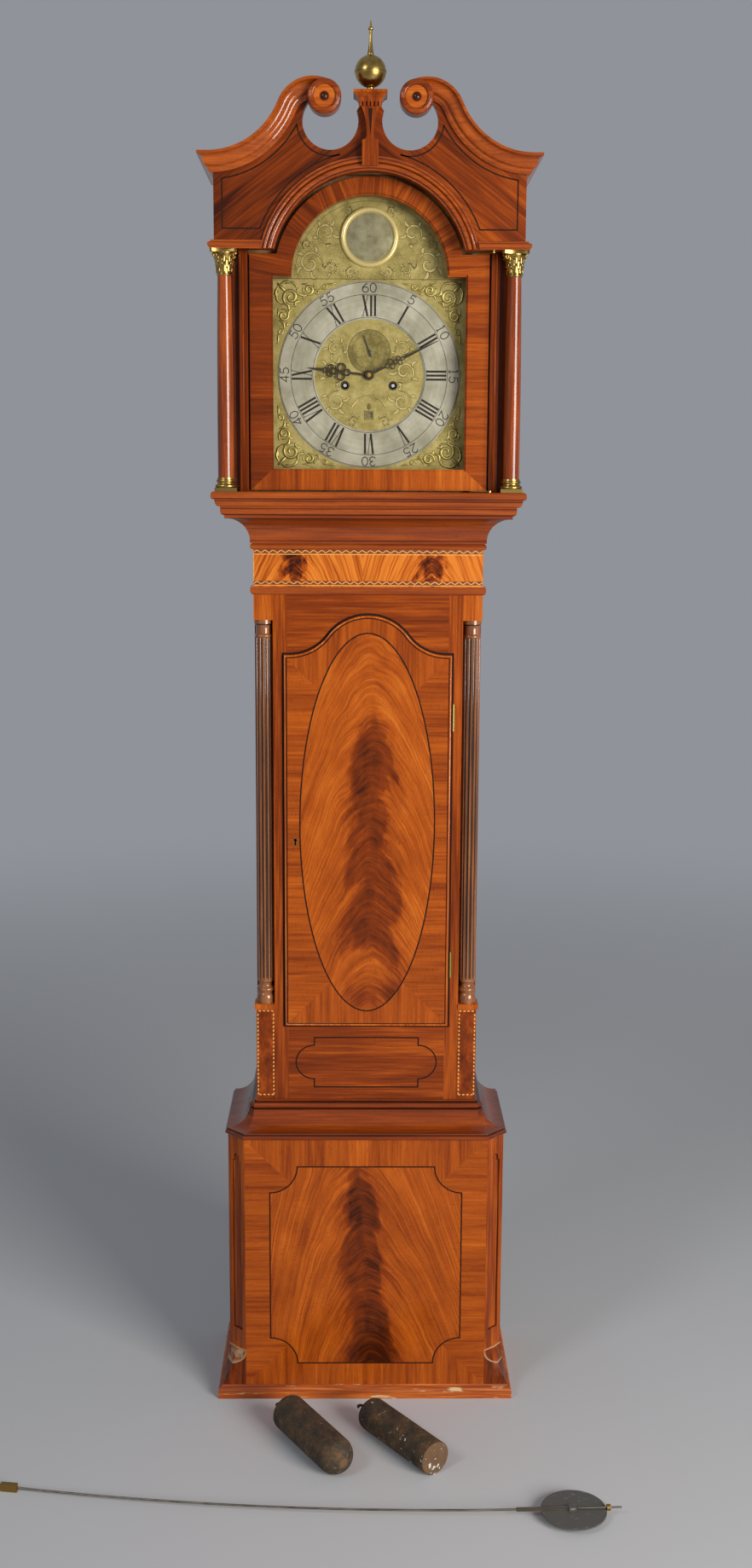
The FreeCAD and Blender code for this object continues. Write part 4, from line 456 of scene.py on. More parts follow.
# %% Base panel
STRING_HALF, STRING_MIDDLE, STRING_RISE, STRING_CORNER = 168.0, 249.5, 184.5, 48.0
PANEL_HALF, PANEL_MIDDLE, PANEL_RISE = 212.0, 254.0, 230.0
HEART_Z, HEART_LEAN = 250.0, 0.09
base_veneer, (x, y, z), _ = finish("base veneer")
over = STRING_HALF - abs(x)
under = STRING_RISE - abs(z - STRING_MIDDLE)
inside = smooth(over, -0.5, 0.5) * smooth(under, -0.5, 0.5)
inside = inside * smooth(away(over, under), STRING_CORNER - 0.5, STRING_CORNER + 0.5)
level = smooth((PANEL_HALF - abs(x)) - (PANEL_RISE - abs(z - PANEL_MIDDLE)), -0.6, 0.6)
border, pores = crossed(x, z, level)
u = x + (z - HEART_Z) * HEART_LEAN
dark = heart(u, z, half=37.0, low=30.0, high=470.0, seed=22.0)
dark = dark + fade(z + abs(x) * 1.1, 90.0, 160.0) * 0.6
figure = 0.54 + feathers(u, z, seed=21.0) - dark.math("MINIMUM", 1.25) * 0.29
polish(base_veneer, either(inside, border, figure), pores)
print("base panel ready")

# %% [markdown]
# ### Frieze, fascia, hood door and small fronts
# The frieze is the brightest wood on the clock: two fans of feather lines that meet in the middle, each with a
# dark blotch. The fascia under the pediment has its grain rising to the middle from both sides. The hood door's
# frame is cross-banded: the grain crosses the stiles, stands upright in the bottom rail and points at the
# centre all round the arch, in wedges of slightly different tone. Each is a formula of x and z again: the feather
# sum for the fans, a leaning pair of axes for the fascia, and for the arch the angle about its centre, cut into
# steps.

# %% Frieze and fascia
FAN_MIDDLE, FAN_APART, BLOTCH_Z = -9.0, 115.0, 1474.0
frieze_veneer, (x, y, z), _ = finish("frieze veneer")
u = abs(x - FAN_MIDDLE) - FAN_APART
fan = z + abs(u) * 0.6 + u * u * 0.015 + ripple(x * 0.03, z * 0.03, 31.0, 2.0) * 14.0
rays = ripple(fan * 0.055, x * 0.01, 31.0) + ripple(fan * 0.16, x * 0.02, 32.0) * 1.15
ragged = away(u, (z - BLOTCH_Z) * 0.55) + ripple(x * 0.07, z * 0.035, 33.0, 4.0, 0.65) * 62.0
blotch = fade(ragged, 8.0, 27.0) * (0.44 + ripple(x * 0.09, z * 0.09, 35.0) * 0.9)
_, pores = timber(z, x, y)
polish(frieze_veneer, 0.74 + rays - blotch, pores * 0.5)

fascia_veneer, (x, y, z), _ = finish("fascia veneer")
along, across = z * 0.60 - abs(x) * 0.80, z * 0.80 + abs(x) * 0.60
tone, pores = timber(along, across, y)
broad = ripple(across * 0.03, along * 0.006, x * 0.002, 2.0)
# The tone rises slowly from left to right: painted light, brighter on the right.
polish(fascia_veneer, tone + broad * 0.50 - 0.19 + x * 0.0004, pores)
print("frieze and fascia ready")

# %% Hood door
HOOD_DOOR_HALF, HOOD_DOOR_LOW, MITRE = 193.0, 1597.0, 1.088
WEDGES_PER_RADIAN = 2.1
hood_veneer, (x, y, z), _ = finish("hood door veneer")
rise = z - ARCH_Z
wedge = (rise.math("ARCTAN2", x) * WEDGES_PER_RADIAN + 0.35).math("FLOOR")
lean = (wedge + 0.15) / WEDGES_PER_RADIAN
cosine, sine = lean.math("COSINE"), lean.math("SINE")
arch, arch_pores = timber(x * cosine + rise * sine, rise * cosine - x * sine, wedge * 40.0)
arch = arch + ripple(wedge * 3.7, 2.0, 7.0, 0.0) * 0.5
rail = smooth((HOOD_DOOR_HALF - abs(x)) - (z - HOOD_DOOR_LOW) * MITRE, -0.6, 0.6)
straight, straight_pores = crossed(x, z, rail)
above = smooth(rise, -0.6, 0.6)
# The tone rises slowly from left to right: painted light, brighter on the right.
tone = either(above, straight, arch) - 0.09 + rail * 0.13 + x * 0.0004
polish(hood_veneer, tone, either(above, straight_pores, arch_pores), 0.2)
print("hood door ready")

# %% Pedestals and roundels
PEDESTAL_TOP = 700.0
pedestal_veneer, (x, y, z), _ = finish("pedestal veneer")
tone, pores = timber(z, x, y)
figure = ripple(x * 0.05, y * 0.05, z * 0.028, 5.0, 0.65)
low = fade(z, PEDESTAL_TOP, PEDESTAL_TOP + 4.0)
polish(pedestal_veneer, either(low, tone + 0.08, 0.38 + figure * 1.1), pores)

ROUNDEL = (71.5, 2197.5)
roundel_wood, (x, y, z), _ = finish("roundel mahogany")
out = away(abs(x) - ROUNDEL[0], z - ROUNDEL[1])
tone, pores = timber(x, z, y)
pale = smooth(out, 7.0, 8.5) * fade(out, 16.0, 18.0)
bead_dot = fade(out, 5.6, 6.8)
polish(roundel_wood, tone - 0.12 + pale * 0.24 - bead_dot * 0.5, pores, 0.4)
print("small fronts ready")

# %% [markdown]
# ## Pine, metal, iron and glass
# Behind the show wood the boards are pine. The brass is old: bright where hands and cloths reach, brown in
# between. The chapter ring is silvered, with a fine circular brush mark; the weights are cast iron with rust. The
# glass could be a solid that bends the light, but a pane this thin bends nothing that the eye can see, so it is
# drawn as a clear sheet that turns glossy only at a slant.

# %% Pine and old brass
pine, (x, y, z), _ = finish("aged pine", Roughness=0.75)
rings = ripple(x * 0.05, y * 0.05, z * 0.003) * 0.7 + ripple(x * 0.4, y * 0.4, z * 0.012) * 0.4
pine_colour = ramp(rings + 0.5, (0.2, tint(104, 70, 40)), (0.8, tint(186, 144, 96)), (0.5, tint(150, 108, 66)))
feed(pine, Base_Color=pine_colour)
emboss(pine, rings, 0.15)


def brass_finish(name, bright, dull, gloss, stain):
    """Old brass: patches between a bright and a dull colour, with fine scratches in the gloss."""
    material, _, place = finish(name, Metallic=1.0)
    patches = noise(place, 0.05, 5.0, 0.65)
    scratches = noise(place, 0.9, 3.0, 0.6)
    worn = smooth(patches, 0.40, 0.66)
    feed(material, Base_Color=blend(worn * stain, bright, dull), Roughness=gloss + scratches * 0.10 + worn * 0.10)
    emboss(material, scratches, 0.02)
    return material


old_brass = brass_finish("old brass", tint(190, 158, 88), tint(92, 72, 38), gloss=0.18, stain=0.6)
wheel_brass = brass_finish("wheel brass", tint(204, 168, 88), tint(150, 114, 56), gloss=0.30, stain=0.35)
gilt_brass = brass_finish("spandrel brass", tint(186, 172, 106), tint(128, 114, 62), gloss=0.42, stain=0.6)
bright_brass = brass_finish("burnished brass", tint(196, 182, 122), tint(158, 142, 84), gloss=0.46, stain=0.5)
bell_metal = brass_finish("bell metal", tint(186, 160, 112), tint(120, 98, 66), gloss=0.22, stain=0.4)

LEAF_EDGE = 143.2
hinge_brass, (x, y, z), _ = finish("hinge brass", Metallic=1.0, Roughness=0.4)
knuckle = smooth(x, LEAF_EDGE, LEAF_EDGE + 1.0)
feed(hinge_brass, Base_Color=blend(knuckle, tint(58, 48, 24), tint(150, 130, 74)))
print("pine and brass ready")

# %% Dial plate, silvering and boss
DIAL_Z = 1783.5
SECONDS = (0.0, DIAL_Z + 38.0)
dial_brass, (x, y, z), place = finish("dial brass", Metallic=0.22, Specular_IOR_Level=0.2)
patches = noise(place, 0.035, 5.0, 0.65)
matting = noise(place, 0.55, 2.0, 0.6)
sunk = fade(away(x, z - SECONDS[1]), 33.6, 34.2) + smooth(z, ARCH_Z - 2.0, ARCH_Z + 2.0) * 0.2
plate = ramp(patches + (matting - 0.5) * 0.5 - sunk * 0.16, (0.25, tint(107, 96, 51)), (0.75, tint(189, 174, 117)),
             (0.5, tint(160, 145, 84)))
feed(dial_brass, Base_Color=plate, Roughness=0.58 + matting * 0.16)
emboss(dial_brass, matting, 0.12)

silvering, (x, y, z), place = finish("silvering", Metallic=0.15, Specular_IOR_Level=0.2)
brushing = noise(vector(away(x, z - DIAL_Z) * 0.9, y, 3.0), 1.0, 3.0, 0.6)
tarnish = noise(place, 0.02, 4.0, 0.6)
silver = ramp(tarnish + (brushing - 0.5) * 0.25, (0.25, tint(131, 125, 103)), (0.72, tint(188, 183, 163)),
              (0.5, tint(162, 157, 136)))
feed(silvering, Base_Color=silver, Roughness=0.56 + brushing * 0.1)
# The date ring is darker than the chapter ring: partly tarnish, partly painted shade.
tarnished_shaded_date_silver = mottled("date silvering, tarnished with painted shade", tint(92, 82, 58), tint(136, 124, 94), 0.3, 4.0, Metallic=0.4, Roughness=0.6)

BOSS_Z, BOSS_EDGE = 2001.5, 38.0
boss_silver, (x, y, z), place = finish("boss", Metallic=0.4, Specular_IOR_Level=0.2)
rim = smooth(away(x, z - BOSS_Z), BOSS_EDGE, BOSS_EDGE + 0.6)
face = ramp(noise(place, 0.06, 4.0, 0.6), (0.3, tint(114, 107, 80)), (0.7, tint(152, 146, 114)))
feed(boss_silver, Base_Color=blend(rim, face, tint(214, 194, 128)), Roughness=0.52 - rim * 0.24)
print("dial finishes ready")

# %% Steel and the pendulum's bob
def steel_finish(name, colour, gloss):
    """Steel with fine scratches."""
    material, _, place = finish(name, Metallic=0.9)
    scratches = noise(place, 0.7, 4.0, 0.6)
    feed(material, Base_Color=ramp(scratches, (0.2, tint(*[0.7 * c for c in colour])), (0.8, tint(*colour))),
         Roughness=gloss + scratches * 0.15)
    emboss(material, scratches, 0.02)
    return material


dark_steel = steel_finish("dark steel", (80, 70, 54), gloss=0.42)
bright_steel = steel_finish("bright steel", (168, 166, 160), gloss=0.28)
lead_bob, (x, y, z), _ = finish("blackened bob", Metallic=0.3)
scrapes = smooth(noise(vector(x * 0.06, y * 0.25, z * 0.2), 1.0, 5.0, 0.7), 0.60, 0.72)
feed(lead_bob, Base_Color=blend(scrapes, tint(94, 92, 88), tint(184, 180, 171)), Roughness=0.42 + scrapes * 0.2)
print("steel ready")

# %% Rusty iron
def rusty_iron(name, near, degrees, flecked):
    """Cast iron with patches of rust and pits. The weight lies from the point near along an angle; flecks of old
    paint gather at its near end, whose face is the rustiest part."""
    material, (x, y, z), place = finish(name, Roughness=0.8)
    ahead = np.radians(degrees)
    along = (x - near[0]) * float(np.cos(ahead)) + (y - near[1]) * float(np.sin(ahead))
    end_face, end_band = fade(along, 0.5, 1.5), fade(along, 8.0, 26.0)
    rust = noise(place, 0.035, 6.0, 0.7)
    pits = noise(place, 0.30, 4.0, 0.7)
    skin = ramp(rust + (pits - 0.5) * 0.4, (0.28, tint(36, 31, 26)), (0.76, tint(138, 92, 58)),
                (0.46, tint(68, 57, 43)), (0.58, tint(90, 70, 48)))
    skin = blend(end_face * 0.6, skin, tint(128, 94, 64))
    paint = smooth(noise(place, 0.10, 3.0, 0.6) + end_band * 0.03, 0.66, 0.69) * flecked
    feed(material, Base_Color=blend(paint, skin, tint(206, 204, 196)), Metallic=0.25 - paint * 0.25)
    emboss(material, pits * 0.6 + rust * 0.4, 0.9)
    return material


round_iron = rusty_iron("rusty iron", near=(-35.0, -379.0), degrees=122.0, flecked=0.15)
flat_iron = rusty_iron("painted iron", near=(115.0, -361.0), degrees=127.0, flecked=1.0)
print("iron ready")

# %% Pieces of two metals
ROD_END, COLLAR_LOW, COLLAR_HIGH = 559.0, 379.5, 387.0
rod_metal, (x, y, z), _ = finish("pendulum rod", Metallic=0.9)
streaks = noise(vector(x * 0.02, y * 0.5, z * 0.5), 1.0, 4.0, 0.6)
collar = smooth(x, COLLAR_LOW, COLLAR_LOW + 0.5) * fade(x, COLLAR_HIGH - 0.5, COLLAR_HIGH)
brass_part = smooth(x * -1.0, ROD_END, ROD_END + 1.0) + collar
steel_look = ramp(streaks, (0.3, tint(78, 72, 62)), (0.7, tint(156, 148, 132)))
feed(rod_metal, Base_Color=blend(brass_part, steel_look, tint(150, 118, 62)), Roughness=0.32 + streaks * 0.15)


def turned_brass(name):
    """A finish of streaky brass that another metal can be laid over: material, x, y, z wires, and its colour."""
    material, axes, place = finish(name, Metallic=1.0)
    streaks = noise(place, 0.2, 4.0, 0.6)
    feed(material, Roughness=0.28 + streaks * 0.12)
    return material, axes, ramp(streaks, (0.3, tint(160, 124, 62)), (0.7, tint(208, 172, 92)))


WINDING = (39.5, DIAL_Z - 16.6)
barrel_metal, (x, y, z), brass_look = turned_brass("barrels with steel arbors")
out = away(abs(x) - WINDING[0], z - WINDING[1])
# Painted shade: the front of each arbor is near black round a bright centre, for the dark winding hole.
arbor_painted_shade = fade(out, 5.4, 5.6) * fade(y, -50.0, -49.0)
metal = blend(arbor_painted_shade, brass_look, tint(16, 14, 12))
feed(barrel_metal, Base_Color=blend(fade(out, 2.6, 3.0), metal, tint(232, 230, 226)))

escape_metal, (x, y, z), brass_look = turned_brass("escape wheel and seconds hand")
hand = fade(y, -58.6, -58.2)
feed(escape_metal, Base_Color=blend(hand, brass_look, tint(84, 88, 96)))
print("pieces of two metals ready")

# %% Window glass
clear_glass, _, place = finish("window glass")
tree = clear_glass.node_tree
sheen = place.node("BsdfGlossy", {}, {"Roughness": 0.02})
through = place.node("BsdfTransparent", {}, {})
slant = place.node("Fresnel", {}, {"IOR": 1.45})
cover = place.node("MixShader", {}, {0: slant * 0.06, 1: through, 2: sheen})
tree.links.new(cover.socket, tree.nodes["Material Output"].inputs["Surface"])
print("glass ready")

# %% [markdown]
# ## Dressing the frame
# Every solid of the frame now gets its finish. The list reads like a cutting list: a finish, then the pieces
# that are made of it. One finish serves many pieces, so a change of the wood is made in one place.

# %% Put the finishes on the frame
dressed = {
    upright_board: "trunk_stiles",
    side_board: "base_carcase trunk_sides",
    shaded_hood_board: "hood_side_frames",
    dark_rail: "trunk_rails",
    console_board: "finial_pedestal",
    moulding_board: "waist_moulding throat_mouldings hood_base_frame hood_arch_moulding hood_cornice",
    worn_plinth: "base_plinth_moulding",
    corner_post: "base_corner_posts",
    red_column: "hood_columns",
    fluted_column: "trunk_columns",
    door_veneer: "trunk_door_panel",
    base_veneer: "base_front_panel",
    frieze_veneer: "frieze_board",
    fascia_veneer: "pediment_board",
    hood_veneer: "hood_door_frame",
    pedestal_veneer: "trunk_column_blocks",
    roundel_wood: "pediment_roundels",
    pine: "backboard seatboard hood_roof dial_mask",
    old_brass: "finial hood_column_brasses hood_door_hinges",
    hinge_brass: "trunk_hinges_fixed trunk_hinges_door",
    wheel_brass: "movement_frame centre_wheel third_wheel strike_pin_wheel strike_gathering_wheel "
                 "strike_warning_wheel strike_fly cannon_wheel minute_wheel hour_wheel",
    barrel_metal: "going_barrel strike_barrel",
    escape_metal: "escape_wheel",
    bell_metal: "bell",
    dial_brass: "dial_plate",
    gilt_brass: "dial_spandrels",
    silvering: "chapter_ring",
    tarnished_shaded_date_silver: "date_ring",
    boss_silver: "arch_boss",
    dark_steel: "minute_hand hour_hand trunk_lock",
    bright_steel: "pallet_anchor hammer",
    rod_metal: "pendulum_rod",
    lead_bob: "pendulum_bob",
    round_iron: "round_weight",
    flat_iron: "flat_weight",
    clear_glass: "hood_door_glass",
}
for material, names in dressed.items():
    for name in names.split():
        nodes[name].data.materials.clear()
        nodes[name].data.materials.append(material)
print(sum(len(names.split()) for names in dressed.values()), "of", len(nodes), "solids dressed")

# %% [markdown]
# ## Profiles carried along paths
# Nearly everything that is still missing is a thin section carried along a line that is drawn on a front:
# stringing is a flat strip, a bead is a half round, an engraved line is a hair-thin strip, and a cast leaf is a
# half round that swells and dies away. Curve objects with a bevel could do it too. Arrays of points are used
# because mitres, swelling and depth in the front can then be set exactly: one function does the carrying, and the
# rest of the lesson only draws paths.

# %% Sheets of points
def joined(name, parts):
    """One mesh from several arrays of points (rows by columns by xyz, in millimetres). Each array becomes a sheet
    of four-sided faces; a closed direction joins its last points to its first. Doubles are merged and faces
    turned outwards."""
    points, faces, count = [], [], 0
    for grid, closed in parts:
        rows, columns = grid.shape[:2]
        down = np.arange(rows if closed[0] else rows - 1)
        over = np.arange(columns if closed[1] else columns - 1)
        i, j = np.meshgrid(down, over, indexing="ij")
        k, m = (i + 1) % rows, (j + 1) % columns
        corners = np.stack([i * columns + j, k * columns + j, k * columns + m, i * columns + m], axis=-1)
        faces.append(corners.reshape(-1, 4) + count)
        points.append(grid.reshape(-1, 3))
        count += rows * columns
    mesh = bpy.data.meshes.new(name)
    mesh.from_pydata((np.concatenate(points) * METRE).tolist(), [], np.concatenate(faces).tolist())
    tidy = bmesh.new()
    tidy.from_mesh(mesh)
    bmesh.ops.remove_doubles(tidy, verts=tidy.verts, dist=1e-6)
    bmesh.ops.recalc_face_normals(tidy, faces=tidy.faces)
    tidy.to_mesh(mesh)
    tidy.free()
    made = bpy.data.objects.new(name, mesh)
    bpy.context.collection.objects.link(made)
    return made


def piece(name, parts, body, material, soft=False):
    """A joined mesh that rides a body of the frame and has a finish; soft smooths its faces."""
    made = joined(name, parts)
    made.data.materials.append(material)
    if soft:
        made.data.shade_smooth()
    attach(made, body)
    print(name, len(made.data.polygons), "faces")
    return made


print("sheets and pieces ready")

# %% Profiles on paths
def carry(path, profile, plane, closed=False, swell=1.0):
    """A profile carried along a path of (x, z) points on the plane y. A row of the profile is how far it lies to
    the left of the path and how far in front of the plane. At a corner it is stretched to a mitre. swell scales
    the profile along the path, and an open path has its ends closed."""
    path = np.asarray(path, dtype=float)
    step = np.roll(path, -1, axis=0) - path
    if not closed:
        step[-1] = step[-2]
    real = np.linalg.norm(step, axis=1) > 1e-6
    path, step, swell = path[real], step[real], np.broadcast_to(swell, len(real))[real]
    step = step / np.linalg.norm(step, axis=1, keepdims=True)
    left = np.stack([-step[:, 1], step[:, 0]], axis=1)
    before = np.roll(left, 1, axis=0)
    if not closed:
        before[0] = left[0]
    mitre = (left + before) / np.maximum(1.0 + np.sum(left * before, axis=1, keepdims=True), 0.15)
    section = np.asarray(profile, dtype=float)[None] * swell[:, None, None]
    across = path[:, None, :] + mitre[:, None, :] * section[..., :1]
    grid = np.stack([across[..., 0], plane - section[..., 1], across[..., 1]], axis=-1)
    if not closed:
        ends = np.repeat(grid.mean(axis=1, keepdims=True), grid.shape[1], axis=1)
        grid = np.concatenate([ends[:1], grid, ends[-1:]])
    return grid, (closed, True)


def strip(width, proud=0.12, sunk=0.4):
    """Section of a flat strip, a little proud of the front it is let into."""
    return [(width / 2, -sunk), (width / 2, proud), (-width / 2, proud), (-width / 2, -sunk)]


def half_round(radius, sunk=0.3, points=9):
    """Section of a bead: half a circle, with its flat back sunk."""
    turn = np.linspace(0.0, np.pi, points)
    bow = radius * np.stack([np.cos(turn), np.sin(turn)], axis=1)
    return np.concatenate([[(radius, -sunk)], bow, [(-radius, -sunk)]])


print("sections: strip and half round")

# %% Lines to draw with
def arc(centre, radius, start, end, points=40):
    """Points on a circle, or on an oval where radius is a pair, between two angles in degrees."""
    turn = np.radians(np.linspace(start, end, points))
    return np.array(centre) + np.array(radius) * np.stack([np.cos(turn), np.sin(turn)], axis=1)


def circle(centre, radius, points):
    """A whole circle or oval, for a closed path: the last point stops one step before the first."""
    return arc(centre, radius, 0.0, 360.0 - 360.0 / points, points)


def flipped(path):
    """The mirror image of a path, left for right."""
    return np.asarray(path) * [-1.0, 1.0]


def both_halves(right):
    """A closed outline from its right half."""
    return np.concatenate([right, flipped(right)[::-1]])


def both_sides(parts):
    """Arrays of points and their mirror images, left for right."""
    return parts + [(grid * [-1.0, 1.0, 1.0], closed) for grid, closed in parts]


# The dark stringing finish also serves the strips of painted shade and shadow in quirks, gaps and recesses.
dark_string_and_shade = mottled("dark stringing and painted shade", tint(30, 14, 8), tint(52, 27, 15), 0.3, Roughness=0.6, Specular_IOR_Level=0.1)
pale_string = mottled("pale stringing", tint(214, 142, 58), tint(240, 176, 88), 0.3, Roughness=0.4)
brown_ground = mottled("brown ground", tint(88, 36, 10), tint(128, 58, 18), 0.2, Roughness=0.4)
print("ready to draw")

# %% [markdown]
# ## Stringing
# Thin lines of dark wood are let into the veneer: an oval on the door, a cartouche on the rail below it, a
# rectangle with hollow corners on the base, and a closed figure on each half of the fascia. On the real clock a
# groove is cut and the string is glued in and scraped flush. It could be painted in the veneer's finish, but then
# it would have no shape of its own; here it stands proud by a tenth of a millimetre.

# %% Dark stringing
DOOR_FRONT, RAIL_FRONT, BASE_FRONT, FASCIA_FRONT = -78.0, -70.0, -120.0, -125.0


def let_in(name, path, front, body):
    """A closed line of dark string, let into a front."""
    piece(name, [carry(path, strip(2.4), front, True)], body, dark_string_and_shade)


let_in("door_oval", circle(OVAL_CENTRE, OVAL_HALF, 144), DOOR_FRONT, "trunk_door")

SHOULDER_X, CARTOUCHE_Z, CARTOUCHE_END = 91.0, 607.8, (32.0, 30.7)
right_end = np.concatenate([[(SHOULDER_X, 652.6), (SHOULDER_X, 638.5)],
                            arc((SHOULDER_X, CARTOUCHE_Z), CARTOUCHE_END, 90.0, -90.0, 28),
                            [(SHOULDER_X, 577.0), (SHOULDER_X, 562.0)]])
let_in("rail_cartouche", both_halves(right_end), RAIL_FRONT, "case")

top, bottom = STRING_MIDDLE + STRING_RISE, STRING_MIDDLE - STRING_RISE
right_side = np.concatenate([arc((STRING_HALF, top), STRING_CORNER, 180.0, 270.0, 20),
                             arc((STRING_HALF, bottom), STRING_CORNER, 90.0, 180.0, 20)])
let_in("base_string", both_halves(right_side), BASE_FRONT, "case")

SWAN_LOW, VOID = (-255.4, 2238.0), (-62.7, 2167.0)
FASCIA_SIDE, FASCIA_LOW = -233.5, 2004.0
fascia_left = np.concatenate([[(FASCIA_SIDE, 2079.5), (FASCIA_SIDE, FASCIA_LOW), (-174.2, FASCIA_LOW)],
                              arc((0.0, ARCH_Z), 186.8, 158.6, 105.0, 40), arc(VOID, 53.0, 286.0, 187.0, 24),
                              arc(SWAN_LOW, 160.0, -29.0, -82.1, 30)])
let_in("fascia_string_left", fascia_left, FASCIA_FRONT, "hood")
let_in("fascia_string_right", flipped(fascia_left)[::-1], FASCIA_FRONT, "hood")

# %% [markdown]
# ## Frieze bands and rope stringing
# Above and below the frieze runs a band of zigzag inlay: a pale wavy line on dark wood with a straight pale line
# beside it. The pedestals of the corner columns are edged with rope stringing, short pale dashes laid at a
# slant one behind the other. The zigzag is a sine wave and the rope is one dash repeated; both are carried strips,
# whose edges stay crisp close up, as those of a painted pattern would not.

# %% Pale inlay
WAVE, SWING, FRIEZE_END = 13.5, 1.7, 191.0
FRIEZE_LOW, FRIEZE_HIGH = 1447.0, 1493.0
run = np.linspace(-FRIEZE_END, FRIEZE_END, 421)
bands, ground = [], []
for middle, line in ((1496.4, 1491.6), (1444.6, 1440.0)):
    wave = np.stack([run, middle + SWING * np.sin(2 * np.pi * run / WAVE)], axis=1)
    bands.append(carry(wave, strip(1.5, 0.22), RAIL_FRONT))
    bands.append(carry([(-FRIEZE_END, line), (FRIEZE_END, line)], strip(1.3, 0.22), RAIL_FRONT))
    ground.append(carry([(-FRIEZE_END, middle), (FRIEZE_END, middle)], strip(6.2, 0.10), RAIL_FRONT))
bands.append(carry([(-FRIEZE_END, FRIEZE_LOW), (-FRIEZE_END, FRIEZE_HIGH)], strip(1.2, 0.2), RAIL_FRONT))
piece("frieze_ground", ground, "case", brown_ground)
piece("frieze_zigzag", bands, "case", pale_string)

# %% Rope stringing
def rope(start, end, period=7.2, dash=3.8, width=2.1):
    """Dashes one behind the other between two points, each a little slanted."""
    start, end = np.array(start), np.array(end)
    length = np.linalg.norm(end - start)
    ahead = (end - start) / length
    slant = np.array([-ahead[1], ahead[0]]) * 0.35
    begins = np.arange(0.0, length - dash, period)[:, None]
    tails, heads = start + ahead * begins - slant, start + ahead * (begins + dash) + slant
    return [carry(ends, strip(width), RAIL_FRONT) for ends in np.stack([tails, heads], axis=1)]


low, high, near, far = 548.0, 701.0, 162.5, 189.5
dashes = rope((near, low), (near, high)) + rope((far, low), (far, high))
dashes += rope((near, low), (far, low)) + rope((near, high), (far, high))
piece("pedestal_rope", both_sides(dashes), "case", pale_string)

# %% [markdown]
# ## The door's bead
# The edge of the trunk door carries a small half-round bead. A thin dark strip of painted shade lies in the quirk
# inside it, and a wider strip of painted shadow in the gap round the door. The bead's path is the door's own
# outline, a little inside: straight sides, a hollow at each shoulder and a round crown. Scaling the outline would
# leave the bead uneven, so the radii of its arcs change instead.

# %% Bead round the trunk door
HOLLOW_X, CROWN_RISE, CROWN_RADIUS = 133.0, 66.5, 84.0
SWEEP = 2.0 * np.arctan(CROWN_RISE / HOLLOW_X)
HOLLOW_RADIUS = HOLLOW_X / np.sin(SWEEP) - CROWN_RADIUS


def door_path(inset):
    """The door's outline drawn in by inset: side, hollow arc about a point above the shoulder, and crown arc."""
    turn = np.degrees(SWEEP)
    hollow = arc((HOLLOW_X, DOOR_SHOULDER + HOLLOW_RADIUS), HOLLOW_RADIUS + inset, 270.0, 270.0 - turn, 24)
    crown = arc((0.0, DOOR_SHOULDER + CROWN_RISE - CROWN_RADIUS), CROWN_RADIUS - inset, 90.0 - turn, 90.0, 24)
    side = [(DOOR_HALF - inset, DOOR_LOW + inset), (DOOR_HALF - inset, DOOR_SHOULDER - inset)]
    return both_halves(np.concatenate([side, hollow, crown]))


LIP_FRONT = -75.0
bead_wood = board("bead mahogany", ALONG_Z, 0.10, 0.5)
bead = carry(door_path(2.0), half_round(1.9), LIP_FRONT, True)
piece("door_bead", [bead], "trunk_door", bead_wood, True)
# A strip of painted shade in the quirk inside the bead, and a strip of painted shadow in the gap round the door.
quirk_shade = carry(door_path(4.7), strip(1.4, 0.1), DOOR_FRONT, True)
piece("door_quirk", [quirk_shade], "trunk_door", dark_string_and_shade)
gap_shadow = carry(door_path(-1.9), strip(3.8, 0.05), RAIL_FRONT, True)
piece("door_gap", [gap_shadow], "case", dark_string_and_shade)

# %% [markdown]
# ## Figures on the dial
# The hours are Roman, drawn with thick and thin strokes and fine serifs; the minutes are Arabic, outside a
# thin ring. All of them stand with their heads outwards, as an engraver turns the ring while cutting. The letters
# of a font could be laid round the ring, but strokes of a chosen width look more like engraving. Each stroke is a
# flat strip of black wax; a numeral is laid out upright and then turned to its hour.

# %% Strokes of the numerals
HOUR_FOOT, HOUR_TALL = 94.0, 33.0
MINUTE_FOOT, MINUTE_PITCH = 131.4, 12.6
MINUTE_WIDE, MINUTE_TALL = 1.42, 1.08


def letter(kind):
    """Strokes of one Roman letter as (points, width), and how wide the letter is. A serif is a fine level stroke
    from one x to another, just inside the foot or the head."""
    tall, thick, thin, fine, inset = HOUR_TALL, 3.4, 1.0, 0.8, 0.4
    foot, head = inset, tall - inset
    strokes, serifs, wide = {
        "I": ([([(3.2, 0), (3.2, tall)], thick)], [(0.6, 5.8, foot), (0.6, 5.8, head)], 6.4),
        "V": ([([(2.4, tall), (6.2, 0)], thick), ([(10.4, tall), (6.8, 0)], thin)],
              [(0.2, 4.8, head), (8.8, 12.2, head)], 12.4),
        "X": ([([(2.6, tall), (9.6, 0)], thick), ([(10.0, tall), (2.2, 0)], thin)],
              [(0.4, 4.8, head), (7.8, 12.2, head), (0.0, 4.4, foot), (7.4, 11.8, foot)], 12.4),
    }[kind]
    return strokes + [([(start, z), (end, z)], fine) for start, end, z in serifs], wide


